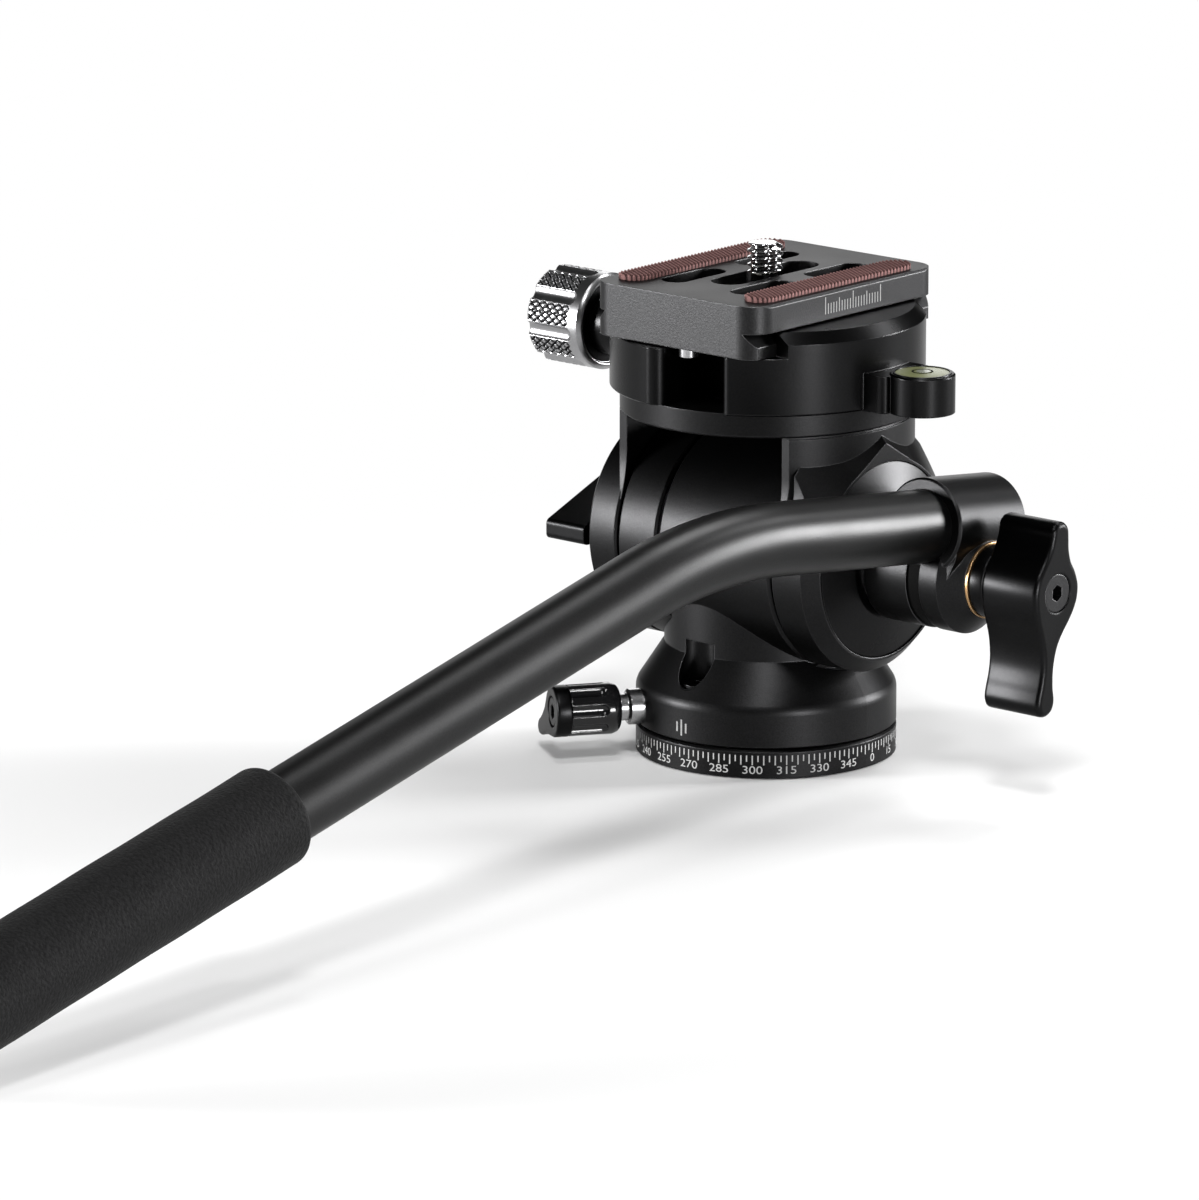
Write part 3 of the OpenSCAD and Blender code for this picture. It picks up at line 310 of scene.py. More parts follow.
# small rectangles bent round a cylinder: each given by its angle, low z, high z and width
def wrapTicks(name, angles, lows, highs, widths, radius, material, body, columns=3):
    s = np.linspace(-0.5, 0.5, columns)
    ang = angles[:, None] + s[None] * (widths / radius)[:, None]
    z = np.stack([np.broadcast_to(lows[:, None], ang.shape), np.broadcast_to(highs[:, None], ang.shape)], -1)
    x = np.broadcast_to(np.cos(ang)[..., None], z.shape) * radius
    y = np.broadcast_to(np.sin(ang)[..., None], z.shape) * radius
    points = np.stack([x, y, z], -1).reshape(-1, 3) * mm
    one = gridFaces(columns, 2)
    quads = (one[None] + (np.arange(len(angles)) * columns * 2)[:, None, None]).reshape(-1, 4)
    return putMesh(name, points, quads, material, body)


# flat outlines of a word as points (x, y) in mm, of a given height, centred on x and stretched along it
def wordMesh(word, height, stretch):
    curve = bpy.data.curves.new("word", "FONT")
    curve.body, curve.align_x, curve.size, curve.resolution_u = word, "CENTER", 1.0, 4
    holder = bpy.data.objects.new("word", curve)
    bpy.context.scene.collection.objects.link(holder)
    mesh = holder.evaluated_get(bpy.context.evaluated_depsgraph_get()).to_mesh()
    co = np.zeros(len(mesh.vertices) * 3)
    mesh.vertices.foreach_get("co", co)
    faces = [list(p.vertices) for p in mesh.polygons]
    co = co.reshape(-1, 3)[:, :2] * np.array([stretch, 1.0])
    low, high = co[:, 1].min(), co[:, 1].max()
    bpy.data.objects.remove(holder)
    bpy.data.curves.remove(curve)
    return (co - [0, low]) * height / (high - low), faces


# ticks in even steps, every second one long; numbers bent onto the wall;
# the index is a long line between two short ones
def makePanScale(s):
    r, n = s["radius"] + s["lift"], s["ticks"]
    k = np.arange(n)
    low = s["top"] - np.where(k % 2 == 0, s["longTick"], s["shortTick"])
    angles = np.radians(k * (360 / n) + s["turn"])
    wrapTicks("panTicks", angles, low, np.full(n, s["top"]), np.full(n, s["tickWidth"]), r,
              finishes["printWhite"], "base")
    points, faces, count = [], [], 0
    for angle in range(0, 360, s["numberStep"]):
        flat, f = wordMesh(str(angle), s["numberHeight"], s["numberStretch"])
        a = math.radians(angle + s["turn"]) + flat[:, 0] / r
        points.append(np.stack([r * np.cos(a), r * np.sin(a), s["numberBase"] + flat[:, 1]], -1) * mm)
        faces += [[v + count for v in q] for q in f]
        count += len(flat)
    mesh = bpy.data.meshes.new("panNumbers")
    mesh.from_pydata(np.concatenate(points).tolist(), [], faces)
    mesh.materials.append(finishes["printWhite"])
    numbers = bpy.data.objects.new("panNumbers", mesh)
    bpy.context.scene.collection.objects.link(numbers)
    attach(numbers, "base")
    a = np.radians(s["indexAngle"]) + np.array([-1.0, 0.0, 1.0]) * s["indexGap"] / r
    high = s["indexTop"] - np.array(s["indexDrops"])
    low = high - np.array(s["indexLengths"])
    wrapTicks("panIndex", a, low, high, np.full(3, s["indexWidth"]), r, finishes["printGrey"], "pan_body")


makePanScale(panScale)
print("pan scale drawn")


# Camera screw with its thread
screwShape = dict(centre=(-0.4, -0.35), radius=3.17, depth=0.72, pitch=1.27, low=85.6, high=91.2, tip=0.8,
                  lead=0.3, neck=2.6, head=5.15, headLow=76.95, headHigh=79.9, headChamfer=0.4)


# thread: the radius falls to its root by a rounded triangle wave of (height / pitch - turn), and rolls in
# at the tip; neck and head below it are plain turned rows
def makeCameraScrew(s):
    turns, rows = 96, 170
    u = np.arange(turns)[:, None] / turns
    z = np.linspace(s["low"], s["high"], rows)[None]
    phase = (z / s["pitch"] - u) % 1.0
    ridge = np.clip(2.3 * np.abs(phase - 0.5) - 0.12, 0, 1)
    ridge = ridge * ridge * (3 - 2 * ridge)
    tip = np.clip((s["high"] - z) / s["tip"], 0, 1)
    start = np.clip((z - s["low"]) / s["lead"], 0, 1)
    r = s["radius"] - s["depth"] * (1 - ridge * start) - s["tip"] * (1 - np.sqrt(1 - (1 - tip) ** 2))
    low, high, head, cut = s["headLow"], s["headHigh"], s["head"], s["headChamfer"]
    below = np.array([[low, 0.0], [low, head - cut], [low + cut, head], [high, head], [high, s["neck"]]])
    n = len(below)
    # painted shade: the thread's roots get the darker groove tone
    grooveShade = np.concatenate([np.zeros((turns, n)), np.clip(0.8 - 1.5 * ridge, 0, 1), np.zeros((turns, 1))], 1)
    r = np.concatenate([np.broadcast_to(below[:, 1], (turns, n)), r, np.zeros((turns, 1))], 1)
    z = np.concatenate([below[:, 0], z[0], z[0, -1:]])[None]
    x, y = s["centre"][0] + r * np.cos(u * tau), s["centre"][1] + r * np.sin(u * tau)
    points = np.stack([x, y, np.broadcast_to(z, r.shape)], -1).reshape(-1, 3) * mm
    piece = putMesh("threadedScrew", points, gridFaces(turns, r.shape[1], wrapU=True), finishes["chrome"],
                    "camera_screw", sharpAngle=60, groove=grooveShade)
    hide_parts("camera_screw")


makeCameraScrew(screwShape)
print("camera screw threaded")


# Clamp knob: knurled panels between smooth flutes
knobShape = dict(x0=-49.2, x1=-36.5, z=71.8, radius=8.7, flutes=8, phase=10.0, fluteRadius=1.6, fluteOut=0.9,
                 fluteEnd=-38.6, knurlAlong=1.75, knurlRound=1.45, knurlDepth=0.45, knurlEnd=-39.3,
                 insetHole=3.1)


# radius at (angle, x): diamonds are the lower of two crossed triangle waves,
# flutes are rods laid into the rim
def makeClampKnob(k):
    turns, rows = 608, 104
    full, x0, x1 = k["radius"], k["x0"], k["x1"]
    outer = roundProfile([[x0 + 0.25, 0.0], [x0 + 0.25, full - 1.5], [x0, full - 1.3], [x0, full - 0.55],
                          [x0 + 0.6, full]], 0.15, 3)
    inner = roundProfile([[x1 - 0.75, full], [x1, full - 0.75], [x1, full - 1.1], [x1 - 0.5, full - 1.3],
                          [x1 - 0.5, 0.0]], 0.12, 3)
    mid = np.stack([np.linspace(x0 + 0.66, x1 - 0.8, rows), np.full(rows, full)], -1)
    p = np.concatenate([outer, mid, inner])
    u = np.arange(turns)[:, None] / turns * tau
    x, r = p[None, :, 0], np.broadcast_to(p[None, :, 1], (turns, len(p)))
    step = tau / k["flutes"]
    off = (u - math.radians(k["phase"]) + step / 2) % step - step / 2
    t = off * full
    a, b = x / k["knurlAlong"] + t / k["knurlRound"], x / k["knurlAlong"] - t / k["knurlRound"]
    wave = lambda v: 1 - np.abs((v % 1.0) * 2 - 1)
    cell = np.clip(np.minimum(wave(a), wave(b)) * 3.0 - 0.3, 0, 1)
    fluteHalf = math.sqrt(k["fluteRadius"] ** 2 - k["fluteOut"] ** 2)
    # the knurl fades out beside the flutes and towards both ends
    beside = np.clip((np.abs(t) - fluteHalf - 0.05) / 0.3, 0, 1)
    before, after = np.clip((k["knurlEnd"] - x) / 0.4, 0, 1), np.clip((x - x0 - 0.5) / 0.3, 0, 1)
    inPanel = beside * before * after
    onRim = r > full - 0.01
    past = np.maximum(0, x - k["fluteEnd"] + fluteHalf)
    reach = np.sqrt(t * t + past * past)
    groove = np.maximum(0, np.sqrt(np.maximum(0, k["fluteRadius"] ** 2 - reach ** 2)) - k["fluteOut"])
    # painted shade: the hollows of the knurl get the darker groove tone
    grooveShade = np.where(onRim, np.clip(1.3 - 1.7 * cell, 0, 1) * inPanel, 0)
    knurl = np.where(onRim, k["knurlDepth"] * (1 - cell) * inPanel, 0)
    flute = np.where(r > full - 1.0, groove * (x < x1 - 0.8), 0)
    r = r - knurl - flute
    points = np.stack([np.broadcast_to(x, r.shape), -r * np.sin(u), k["z"] + r * np.cos(u)], -1)
    piece = putMesh("knurledKnob", points.reshape(-1, 3) * mm, gridFaces(turns, len(p), wrapU=True),
                    finishes["knurl"], "clamp_knob", sharpAngle=50, groove=grooveShade)
    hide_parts("clamp_knob")
    inset = roundProfile([[0, full - 1.4], [0.1, full - 1.5], [0.1, k["insetHole"]]], 0.05, 3)
    lathe("knobInset", (x1 - 0.45, 0, k["z"]), (1, 0, 0), inset, finishes["blackSatin"], "clamp_knob")


makeClampKnob(knobShape)
print("clamp knob knurled")


# Ribbed pads on the plate
padShape = dict(centre=(-0.4, -0.35), offset=14.4, half=21.0, width=5.8, low=85.6, height=1.0, pitch=0.9,
                slant=0.6, ribDepth=0.42, edgeDrop=0.12)


# pad: half width sqrt law at the round ends, top lowered by a triangle wave of (y + slant * x) between ribs;
# rows crowd a little towards the ends
def makePads(p):
    rows, columns, crowd = 620, 20, 1.15
    w, k = p["width"] / 2, p["half"]
    y = np.linspace(-1, 1, rows)
    y = np.sign(y) * (1 - (1 - np.abs(y)) ** crowd) * k
    past = np.maximum(0, np.abs(y) - (k - w))
    half = np.sqrt(np.maximum(0, w * w - past * past))
    a = np.concatenate([[-1, -1], np.linspace(-0.97, 0.97, columns), [1, 1]])
    x = half[:, None] * a[None]
    rib = np.abs(((y[:, None] + p["slant"] * x) / p["pitch"]) % 1.0 * 2 - 1)
    z = p["low"] + p["height"] - p["ribDepth"] * np.clip(1.3 * rib - 0.15, 0, 1)
    z = z - p["edgeDrop"] * np.clip(np.abs(a)[None] * 12 - 11, 0, 1)
    z[:, 0] = z[:, -1] = p["low"]
    # painted shade: the hollows between the ribs get the darker groove tone
    grooveShade = np.clip(2.2 * rib - 0.9, 0, 1)
    along = np.broadcast_to(p["centre"][1] + y[:, None], x.shape)
    for side in (-1, 1):
        points = np.stack([p["centre"][0] + side * p["offset"] + x, along, z], -1).reshape(-1, 3) * mm
        piece = putMesh("ribbedPad" + str(side), points, gridFaces(rows, len(a), wrapV=True)[:, ::-1],
                        finishes["padRubber"], "plate", sharpAngle=70, groove=grooveShade)
        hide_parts("plate_pads")


makePads(padShape)
print("pads ribbed")


# Wing knob of the handle
wingShape = dict(z=38.2, hubLow=50.8, bladeLow=53.0, high=65.4, hub=6.5, hubSink=0.6, round=0.9, hole=3.4,
                 holeFloor=62.4,
                 outline=[(2.1, 12.1), (3.1, 11.0), (3.3, 9.2), (3.4, 7.2), (4.0, 5.0), (5.2, 3.0),
                          (6.0, 0.6), (5.8, -1.8), (4.9, -3.8), (3.5, -5.7), (1.9, -7.5), (0.6, -9.4),
                          (-0.2, -11.6), (-0.6, -14.0), (-0.6, -16.6), (-0.3, -18.8), (-0.8, -20.5),
                          (-2.0, -21.4), (-3.4, -21.5), (-4.5, -20.9), (-5.0, -19.4), (-4.7, -17.6),
                          (-4.1, -15.6), (-3.7, -13.4), (-3.7, -11.2), (-4.0, -9.0), (-4.6, -6.8),
                          (-5.4, -4.4), (-5.9, -1.8), (-6.0, 0.6), (-5.4, 2.8), (-4.2, 4.6), (-3.0, 6.2),
                          (-2.0, 8.0), (-1.4, 9.8), (-1.1, 11.2), (-0.2, 12.1), (1.0, 12.3)])


# closed smooth curve through points: cubic pieces whose slopes come from the neighbours
def smoothLoop(points, per=8):
    p = np.asarray(points, float)
    before, after, next2 = np.roll(p, 1, 0), np.roll(p, -1, 0), np.roll(p, -2, 0)
    t = (np.arange(per) / per)[None, :, None]
    a, b, c, d = p[:, None], after[:, None], (after - before)[:, None] / 2, (next2 - p)[:, None] / 2
    return ((2 * t ** 3 - 3 * t ** 2 + 1) * a + (3 * t ** 2 - 2 * t ** 3) * b + (t ** 3 - 2 * t ** 2 + t) * c
            + (t ** 3 - t ** 2) * d).reshape(-1, 2)


# twice the area inside a loop, above zero where it runs anticlockwise
def loopArea(loop):
    return np.sum(loop[:, 0] * np.roll(loop[:, 1], -1) - np.roll(loop[:, 0], -1) * loop[:, 1])


# slab over a loop with rounded rims: rows are (height, inset), each inset moves the loop along its normal
def loopRows(loop, rows):
    step = np.roll(loop, -1, 0) - np.roll(loop, 1, 0)
    normal = np.stack([step[:, 1], -step[:, 0]], -1) / np.linalg.norm(step, axis=1)[:, None]
    normal = normal * np.sign(loopArea(loop))
    rows = np.asarray(rows, float)
    flat = loop[:, None] - normal[:, None] * rows[None, :, 1:]
    return np.concatenate([flat, np.broadcast_to(rows[None, :, :1], flat.shape[:2] + (1,))], -1)


# rows (height, inset) of a slab whose lower and upper rims are quarter circles
def rimRows(low, high, radius, steps=6):
    t = np.linspace(0, math.pi / 2, steps)
    up = np.stack([low + radius * (1 - np.cos(t)), radius * (1 - np.sin(t))], -1)
    t = t[::-1]
    return np.concatenate([up, np.stack([high - radius * (1 - np.cos(t)), radius * (1 - np.sin(t))], -1)])


# slab over a loop round (0, 0) with a round well in its upper face; that face is two polygons between the rim
# and the well, parted at the loop's two ends, and a narrow inset row keeps them flat;
# toSpace places (a, b, height)
def putBlade(name, loop, w, toSpace, body):
    n = len(loop)
    inset, ease, collar = 0.06, 0.15, 0.2
    hole, high, floor = w["hole"], w["high"], w["holeFloor"]
    rows = rimRows(w["bladeLow"], high, w["round"])
    slab = loopRows(loop, np.concatenate([rows[:1] + [0, inset], rows, rows[-1:] + [0, inset]]))
    turn = np.arange(n)[:, None] / n * tau
    at = lambda r, h: np.concatenate([r * np.cos(turn), r * np.sin(turn), np.full((n, 1), h)], -1)[:, None]
    well = np.concatenate([at(hole + collar, high), at(hole + ease, high), at(hole, high - ease),
                           at(hole, floor), at(0, floor)], 1)
    a, b = slab.shape[1], well.shape[1]
    foot, rim, edge = np.arange(n) * a, np.arange(n) * a + a - 1, n * a + np.arange(n) * b
    ends = [np.argmax(loop[:, 1]), np.argmin(loop[:, 1])]
    near = [int(round(math.atan2(loop[e, 1], loop[e, 0]) % tau / tau * n)) % n for e in ends]
    span = lambda first, last: np.arange(first, first + (last - first) % n + 1) % n
    caps = [foot[::-1]]
    for k in (0, 1):
        outer, inner = span(ends[k], ends[1 - k]), span(near[k], near[1 - k])
        caps.append(np.concatenate([rim[outer], edge[inner][::-1]]))
    quads = np.concatenate([gridFaces(n, a, wrapU=True), gridFaces(n, b, wrapU=True) + n * a])
    points = np.concatenate([slab.reshape(-1, 3), well.reshape(-1, 3)])
    return putMesh(name, toSpace(points), quads, finishes["knobBlack"], body, caps=caps, sharpAngle=35)


# outline anticlockwise
def leftTurning(loop):
    return loop if loopArea(loop) > 0 else loop[::-1]


def makeWingKnob(w):
    toSpace = lambda p: np.stack([p[:, 2], p[:, 0], p[:, 1] + w["z"]], -1) * mm
    blade = putBlade("wingBlade", leftTurning(smoothLoop(w["outline"])), w, toSpace, "wing")
    low, top, wide = w["hubLow"], w["bladeLow"] + w["hubSink"], w["hub"]
    profile = roundProfile([[low, 0], [low, wide], [top, wide - 0.15], [top, 0]], 0.3, 4)
    hub = lathe("wingHub", (0, 0, w["z"]), (1, 0, 0), profile, finishes["knobBlack"], "wing")
    for piece in (blade, hub):
        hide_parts("wing_knob")


makeWingKnob(wingShape)
print("wing knob formed")


# Pan lock knob: fluted barrel, flat thumb wing at its outer end and the end of its screw
lockShape = dict(azimuth=235.5, z=8.7, low=27.3, high=39.2, radius=4.6, flutes=8, fluteTurn=10.0,
                 fluteHalf=1.0, fluteDepth=0.7, fluteLow=29.8, bladeLow=36.3, bladeSink=0.2, round=0.45,
                 hole=2.75, holeFloor=37.4, hexRadius=1.35, hexDepth=1.2, endGap=0.12, lean=13.5,
                 outline=[(4.6, 0.0), (4.0, 2.3), (2.3, 4.0), (0.0, 4.6), (-2.3, 4.0), (-4.0, 2.3),
                          (-4.6, 0.0), (-4.2, -1.9), (-3.4, -3.1), (-2.3, -4.2), (-0.9, -5.6), (0.2, -7.4),
                          (0.9, -9.0), (1.3, -10.3), (2.0, -11.1), (2.9, -11.3), (3.8, -10.8), (4.2, -9.6),
                          (4.1, -7.6), (4.0, -5.4), (4.3, -3.0)])


# barrel: radius less a round groove at each flute; hexagon: radius a / cos(angle within a sixth)
def makePanLock(k):
    az, lean = math.radians(k["azimuth"]), math.radians(k["lean"])
    out, side = np.array([math.cos(az), math.sin(az), 0]), np.array([-math.sin(az), math.cos(az), 0])
    down, centre = np.array([0, 0, -1.0]), [0, 0, k["z"]]
    place = lambda g: g[..., :1] * down + g[..., 1:2] * side + g[..., 2:] * out
    toSpace = lambda g: (place(g) + centre).reshape(-1, 3) * mm
    turns, rows, full = 240, 60, k["radius"]
    low, top = k["low"], k["bladeLow"] + k["bladeSink"]
    u = np.arange(turns)[:, None] / turns * tau
    start = roundProfile([[low, 0], [low, full - 0.75], [low + 0.5, full - 0.3], [low + 1.4, full]], 0.3, 4)
    wall = np.stack([np.linspace(low + 1.6, top, rows), np.full(rows, full)], -1)
    p = np.concatenate([start, wall, [[top, 0]]])
    h, r = p[None, :, 0], np.broadcast_to(p[None, :, 1], (turns, len(p)))
    step = tau / k["flutes"]
    t = ((u - math.radians(k["fluteTurn"]) + step / 2) % step - step / 2) * full
    reach = np.sqrt(t * t + np.maximum(0, k["fluteLow"] + k["fluteHalf"] - h) ** 2) / k["fluteHalf"]
    r = r - np.where(r > full - 0.01, k["fluteDepth"] * np.sqrt(np.clip(1 - reach * reach, 0, 1)), 0)
    grid = np.stack([r * np.cos(u), r * np.sin(u), np.broadcast_to(h, r.shape)], -1)
    barrel = putMesh("lockBarrel", toSpace(grid), gridFaces(turns, len(p), wrapU=True),
                     finishes["glossBlack"], "pan_lock", sharpAngle=45)
    loop = leftTurning(smoothLoop(k["outline"]))
    x, y = loop[:, 0], loop[:, 1]
    loop = np.stack([x * math.cos(lean) - y * math.sin(lean), x * math.sin(lean) + y * math.cos(lean)], -1)
    blade = putBlade("lockWing", loop, k, toSpace, "pan_lock")
    # end of the screw: a ring with a six-sided hole
    turns = 72
    u = np.arange(turns)[:, None] / turns * tau
    hexagon = k["hexRadius"] * math.cos(tau / 12) / np.cos(u % (tau / 6) - tau / 12)
    one, top = np.ones((turns, 1)), k["high"] - k["endGap"]
    rim, floor = one * (k["hole"] - k["endGap"]), top - k["hexDepth"]
    r = np.concatenate([rim, rim, one * (k["hole"] - 0.3), hexagon * 1.08, hexagon, hexagon, 0 * one], 1)
    h = np.array([k["holeFloor"], top - 0.15, top, top, top - 0.1, floor, floor])[None]
    grid = np.stack([r * np.cos(u), r * np.sin(u), np.broadcast_to(h, r.shape)], -1)
    end = putMesh("lockScrewEnd", toSpace(grid), gridFaces(turns, r.shape[1], wrapU=True),
                  finishes["darkSteel"], "pan_lock", sharpAngle=35)
    for piece in (barrel, blade):
        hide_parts("pan_lock_knob")


makePanLock(lockShape)
print("pan lock formed")


# Bubble level in the ear
levelShape = dict(centre=(35.0, 0.0), top=72.7, glass=4.75, base=0.02, crown=0.22, rimOut=0.45,
                  rimHeight=0.16, ring=0.35, circle=1.55, bubble=1.25, bubbleShift=0.1)


# glass: a shallow dome whose height falls with the square of the radius; circle and bubble lie just above it
def makeLevel(v):
    c, up, edge = (v["centre"][0], v["centre"][1], v["top"]), (0, 0, 1), v["glass"]
    out, high = edge + v["rimOut"], v["rimHeight"]
    rim = roundProfile([[0.0, out], [high, out - 0.05], [high, edge], [0.0, edge - 0.05]], 0.06, 3)
    lathe("levelRing", c, up, rim, finishes["darkSteel"], "yoke")
    dome = lambda q: v["base"] + v["crown"] * (1 - (q / edge) ** 2)
    r = np.linspace(edge, 0, 14)
    lathe("levelGlass", c, up, np.stack([dome(r), r], -1), finishes["vialLiquid"], "yoke", sharpAngle=0)
    r = np.array([v["circle"] + v["ring"], v["circle"]])
    lathe("levelCircle", c, up, np.stack([dome(r) + 0.03, r], -1), finishes["ringRubber"], "yoke")
    r = np.linspace(v["bubble"], 0, 6)
    height = dome(r) + 0.02 + 0.04 * (1 - r / v["bubble"])
    aside = (c[0] + v["bubbleShift"], c[1] + v["bubbleShift"], c[2])
    lathe("levelBubble", aside, up, np.stack([height, r], -1), finishes["bubblePale"], "yoke", sharpAngle=0)


makeLevel(levelShape)
print("level made")


# Scale on the lip of the plate
lipScale = dict(x=18.6, lift=0.015, first=-6.6, step=0.75, count=21, low=81.75, width=0.2, tall=3.05,
                middle=2.45, short=1.85)


# ticks: upright rectangles in even steps, every tenth one tall and every fifth one of middle height
def makeLipScale(s):
    k = np.arange(s["count"])
    tall = np.where(k % 10 == 0, s["tall"], np.where(k % 5 == 0, s["middle"], s["short"]))
    y = s["first"] + s["step"] * k
    a, b = np.meshgrid(np.array([-0.5, 0.5]), np.array([0.0, 1.0]), indexing="ij")
    x = np.full((len(k), 4), s["x"] + s["lift"])
    points = np.stack([x, y[:, None] + a.ravel() * s["width"], s["low"] + b.ravel() * tall[:, None]], -1)
    quads = (gridFaces(2, 2)[None] + (np.arange(len(k)) * 4)[:, None, None]).reshape(-1, 4)
    putMesh("lipTicks", points.reshape(-1, 3) * mm, quads, finishes["printGrey"], "plate")


makeLipScale(lipScale)
print("lip scale drawn")


# Pan bar and its foam grip, whose start is counted from the end of the bend
barShape = dict(x=42.0, lift=46.95, rise=6.8, fall=13.2, bendRadius=105.0, corner=66.0, radius=6.4, begin=5.2,
                end=169.0)
gripShape = dict(start=91.1, length=79.9, radius=8.6, inner=6.4, round=1.3, lip=1.1, rearRound=1.2,
                 rearLip=0.8, swell=0.05)


# place and direction where the bar leaves its bend
def pastBend(b):
    rise, turn = math.radians(b["rise"]), math.radians(b["rise"] + b["fall"])
    first = b["corner"] - b["bendRadius"] * math.tan(turn / 2)
    out = np.array([0, -math.cos(rise), math.sin(rise)])
    up = np.array([0, math.sin(rise), math.cos(rise)])
    start = np.array([b["x"], 0, b["lift"]]) + out * first - up * b["bendRadius"]
    down = np.array([0, -math.cos(rise - turn), math.sin(rise - turn)])
    rim = np.array([0, math.sin(rise - turn), math.cos(rise - turn)])
    return start + rim * b["bendRadius"], down


# bar: a circle carried along a straight, an arc and a second straight,
# its frame turning only in the Y-Z plane
def makeBar(b):
    near, bend, far, turns, gap = 24, 72, 40, 128, 0.3
    rise, turn = math.radians(b["rise"]), math.radians(b["rise"] + b["fall"])
    first = b["corner"] - b["bendRadius"] * math.tan(turn / 2)
    after, down = pastBend(b)
    angle = np.concatenate([np.full(near, rise), rise - np.linspace(0, turn, bend),
                            np.full(far, rise - turn)])
    out = np.stack([0 * angle, -np.cos(angle), np.sin(angle)], -1)
    up = np.stack([0 * angle, np.sin(angle), np.cos(angle)], -1)
    start = np.array([b["x"], 0, b["lift"]])
    centre = start + out[0] * first - up[0] * b["bendRadius"]
    path = np.concatenate([start + out[:near] * np.linspace(b["begin"], first - gap, near)[:, None],
                           centre + up[near:near + bend] * b["bendRadius"],
                           after + down * np.linspace(gap, b["end"], far)[:, None]])
    u = np.arange(turns) / turns * tau
    across = np.array([1.0, 0, 0])
    ring = np.cos(u)[:, None, None] * across + np.sin(u)[:, None, None] * up[None]
    points = path[None] + b["radius"] * ring
    n = len(path)
    end = np.arange(turns) * n
    bar = putMesh("bentBar", points.reshape(-1, 3) * mm, gridFaces(turns, n, wrapU=True)[:, ::-1],
                  finishes["barBlack"], "handle", caps=[end, end[::-1] + n - 1], sharpAngle=50)
    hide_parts("handle_bar")


makeBar(barShape)
print("bar bent")


# foam sleeve: a lathe whose ends roll in, with a slow swell of a tenth of a millimetre from trough to crest
def makeGrip(g, b):
    origin, axis = pastBend(b)
    t, rows = np.linspace(0, math.pi / 2, 9), 88
    s0, s1, r, inner = g["start"], g["start"] + g["length"], g["radius"], g["inner"]
    k, q = g["round"], g["rearRound"]
    front = np.stack([s0 + k - k * np.cos(t), r - g["lip"] + g["lip"] * np.sin(t)], -1)
    rear = np.stack([s1 - q + q * np.sin(t), r - g["rearLip"] + g["rearLip"] * np.cos(t)], -1)
    mid = np.stack([np.linspace(s0 + k, s1 - q, rows + 2)[1:-1], np.full(rows, r)], -1)
    mouth = [[s0 + 0.6, inner + 0.02], [s0, inner + 0.25]]
    profile = np.concatenate([mouth, front, mid, rear, [[s1, inner - 1.0]]])
    wave = lambda u, s: g["swell"] * np.sin(3 * u + s * 0.11) * np.sin(s * 0.23)
    swell = lambda u, s, rr: rr + wave(u, s) * (rr > inner + 0.5)
    grip = lathe("foamGrip", origin, axis, profile, finishes["foam"], "handle", turns=120, wave=swell)
    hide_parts("grip")


makeGrip(gripShape, barShape)
print("foam grip made")


# Camera, floor and lamps; a lamp is given by name, place, target, width, height and watts
shot = dict(place=(0.99271, -1.18331, 0.40357), azimuth=41.09, height=13.72, lens=269.67, sensor=36.0,
            far=50.0)
studio = dict(floorTone=0.7, floorHalf=6.0, floorDrop=0.0002, worldStrength=0.03,
              whiteFrom=0.08, whiteTo=0.28, whiteCentre=(0.03, -0.08),
              lamps=[("backRight", (0.78, 1.1, 0.27), (0.02, -0.02, 0.05), 0.34, 0.5, 36.0),
                     ("highBack", (-0.12, 0.72, 1.08), (0.02, -0.08, 0.05), 0.4, 0.3, 6.5),
                     ("capBack", (0.36, 1.0, 0.9), (0.03, 0.0, 0.05), 0.3, 0.3, 3.5),
                     ("overhead", (0.16, -0.22, 1.3), (0.0, -0.03, 0.05), 0.2, 0.2, 3.0),
                     ("topFront", (0.5, -0.6, 1.05), (0.0, -0.03, 0.03), 0.2, 0.2, 7.0),
                     ("frontLeft", (-0.85, -0.95, 0.17), (0.0, 0.0, 0.06), 0.28, 0.32, 30.0),
                     ("leftBox", (-1.0, 1.1, 0.42), (0.0, -0.02, 0.08), 0.6, 0.6, 3.0),
                     ("rightFill", (1.2, -0.4, 0.1), (0.0, 0.0, 0.05), 0.2, 0.18, 12.0)])


def makeCamera(s):
    data = bpy.data.cameras.new("shot")
    data.lens, data.sensor_width, data.clip_end = s["lens"], s["sensor"], s["far"]
    cam = bpy.data.objects.new("shot", data)
    cam.location = s["place"]
    cam.rotation_euler = (math.radians(90 - s["height"]), 0, math.radians(s["azimuth"]))
    bpy.context.scene.collection.objects.link(cam)
    bpy.context.scene.camera = cam


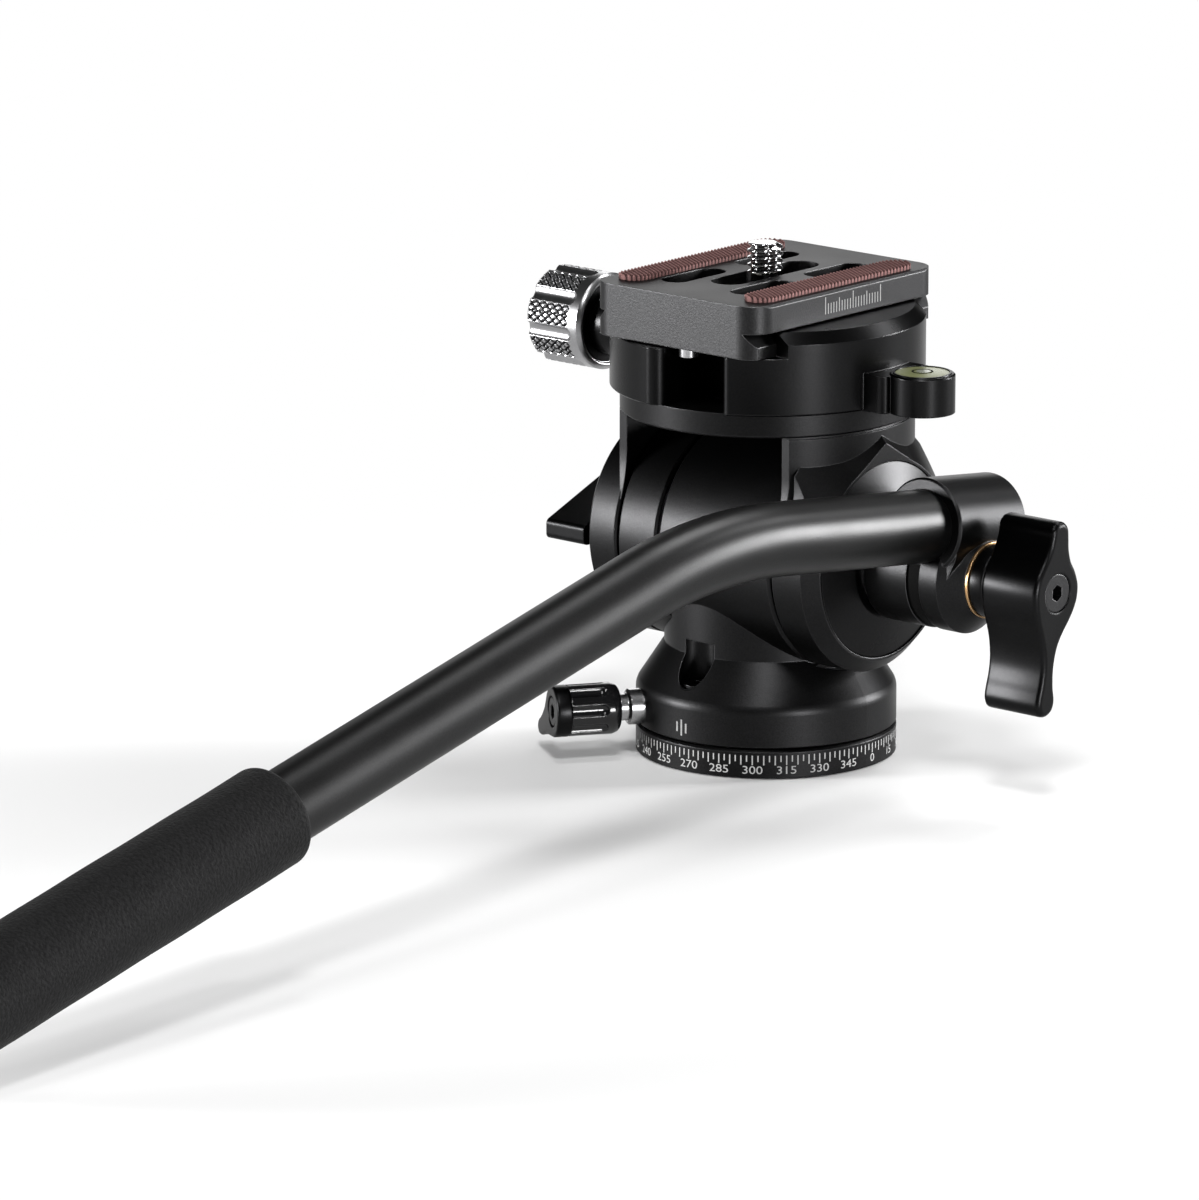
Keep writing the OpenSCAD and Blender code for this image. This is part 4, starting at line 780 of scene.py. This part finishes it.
def makeStudio(s):
    m = bpy.data.materials.new("paperFloor")
    tree, bsdf = nodeTree(m)
    n, l = tree.nodes, tree.links
    bsdf.inputs["Base Color"].default_value = (s["floorTone"], s["floorTone"], s["floorTone"], 1)
    bsdf.inputs["Roughness"].default_value = 0.9
    bsdf.inputs["Specular IOR Level"].default_value = 0.1
    # away from the object the floor turns to plain white for rays that see it
    place, away = n.new("ShaderNodeTexCoord"), n.new("ShaderNodeVectorMath")
    grow, path = n.new("ShaderNodeMapRange"), n.new("ShaderNodeLightPath")
    away.operation, away.inputs[1].default_value = "DISTANCE", (*s["whiteCentre"], 0)
    l.new(place.outputs["Object"], away.inputs[0])
    grow.interpolation_type = "SMOOTHSTEP"
    grow.inputs["From Min"].default_value = s["whiteFrom"]
    grow.inputs["From Max"].default_value = s["whiteTo"]
    l.new(away.outputs["Value"], grow.inputs["Value"])
    sees, both, cut = n.new("ShaderNodeMath"), n.new("ShaderNodeMath"), n.new("ShaderNodeMath")
    sees.operation, both.operation, cut.operation = "ADD", "ADD", "MULTIPLY"
    sees.use_clamp = both.use_clamp = True
    l.new(path.outputs["Is Camera Ray"], sees.inputs[0])
    l.new(path.outputs["Is Glossy Ray"], sees.inputs[1])
    l.new(sees.outputs[0], both.inputs[0])
    l.new(path.outputs["Is Transmission Ray"], both.inputs[1])
    l.new(both.outputs[0], cut.inputs[0])
    l.new(grow.outputs["Result"], cut.inputs[1])
    white, mix = n.new("ShaderNodeEmission"), n.new("ShaderNodeMixShader")
    white.inputs["Color"].default_value, white.inputs["Strength"].default_value = (1, 1, 1, 1), 1.0
    l.new(cut.outputs[0], mix.inputs["Fac"])
    l.new(bsdf.outputs[0], mix.inputs[1])
    l.new(white.outputs[0], mix.inputs[2])
    # seen from below it is clear
    side, clear = n.new("ShaderNodeNewGeometry"), n.new("ShaderNodeBsdfTransparent")
    final = n.new("ShaderNodeMixShader")
    l.new(side.outputs["Backfacing"], final.inputs["Fac"])
    l.new(mix.outputs[0], final.inputs[1])
    l.new(clear.outputs[0], final.inputs[2])
    l.new(final.outputs[0], n["Material Output"].inputs["Surface"])
    mesh = bpy.data.meshes.new("paperFloor")
    h, z = s["floorHalf"], -s["floorDrop"]
    mesh.from_pydata([(-h, -h, z), (h, -h, z), (h, h, z), (-h, h, z)], [], [(0, 1, 2, 3)])
    mesh.materials.append(m)
    floor = bpy.data.objects.new("paperFloor", mesh)
    bpy.context.scene.collection.objects.link(floor)
    for name, place, target, wide, tall, power in s["lamps"]:
        lamp = bpy.data.lights.new(name, "AREA")
        lamp.shape, lamp.size, lamp.size_y, lamp.energy = "RECTANGLE", wide, tall, power
        holder = bpy.data.objects.new(name, lamp)
        holder.location = place
        holder.rotation_euler = (Vector(target) - Vector(place)).to_track_quat("-Z", "Y").to_euler()
        bpy.context.scene.collection.objects.link(holder)
    world = bpy.data.worlds.new("studio")
    world.use_nodes = True
    back = world.node_tree.nodes["Background"]
    back.inputs["Color"].default_value = (1, 1, 1, 1)
    back.inputs["Strength"].default_value = s["worldStrength"]
    bpy.context.scene.world = world
    bpy.context.scene.view_settings.view_transform = "Standard"


makeCamera(shot)
makeStudio(studio)
print("camera and lamps set")
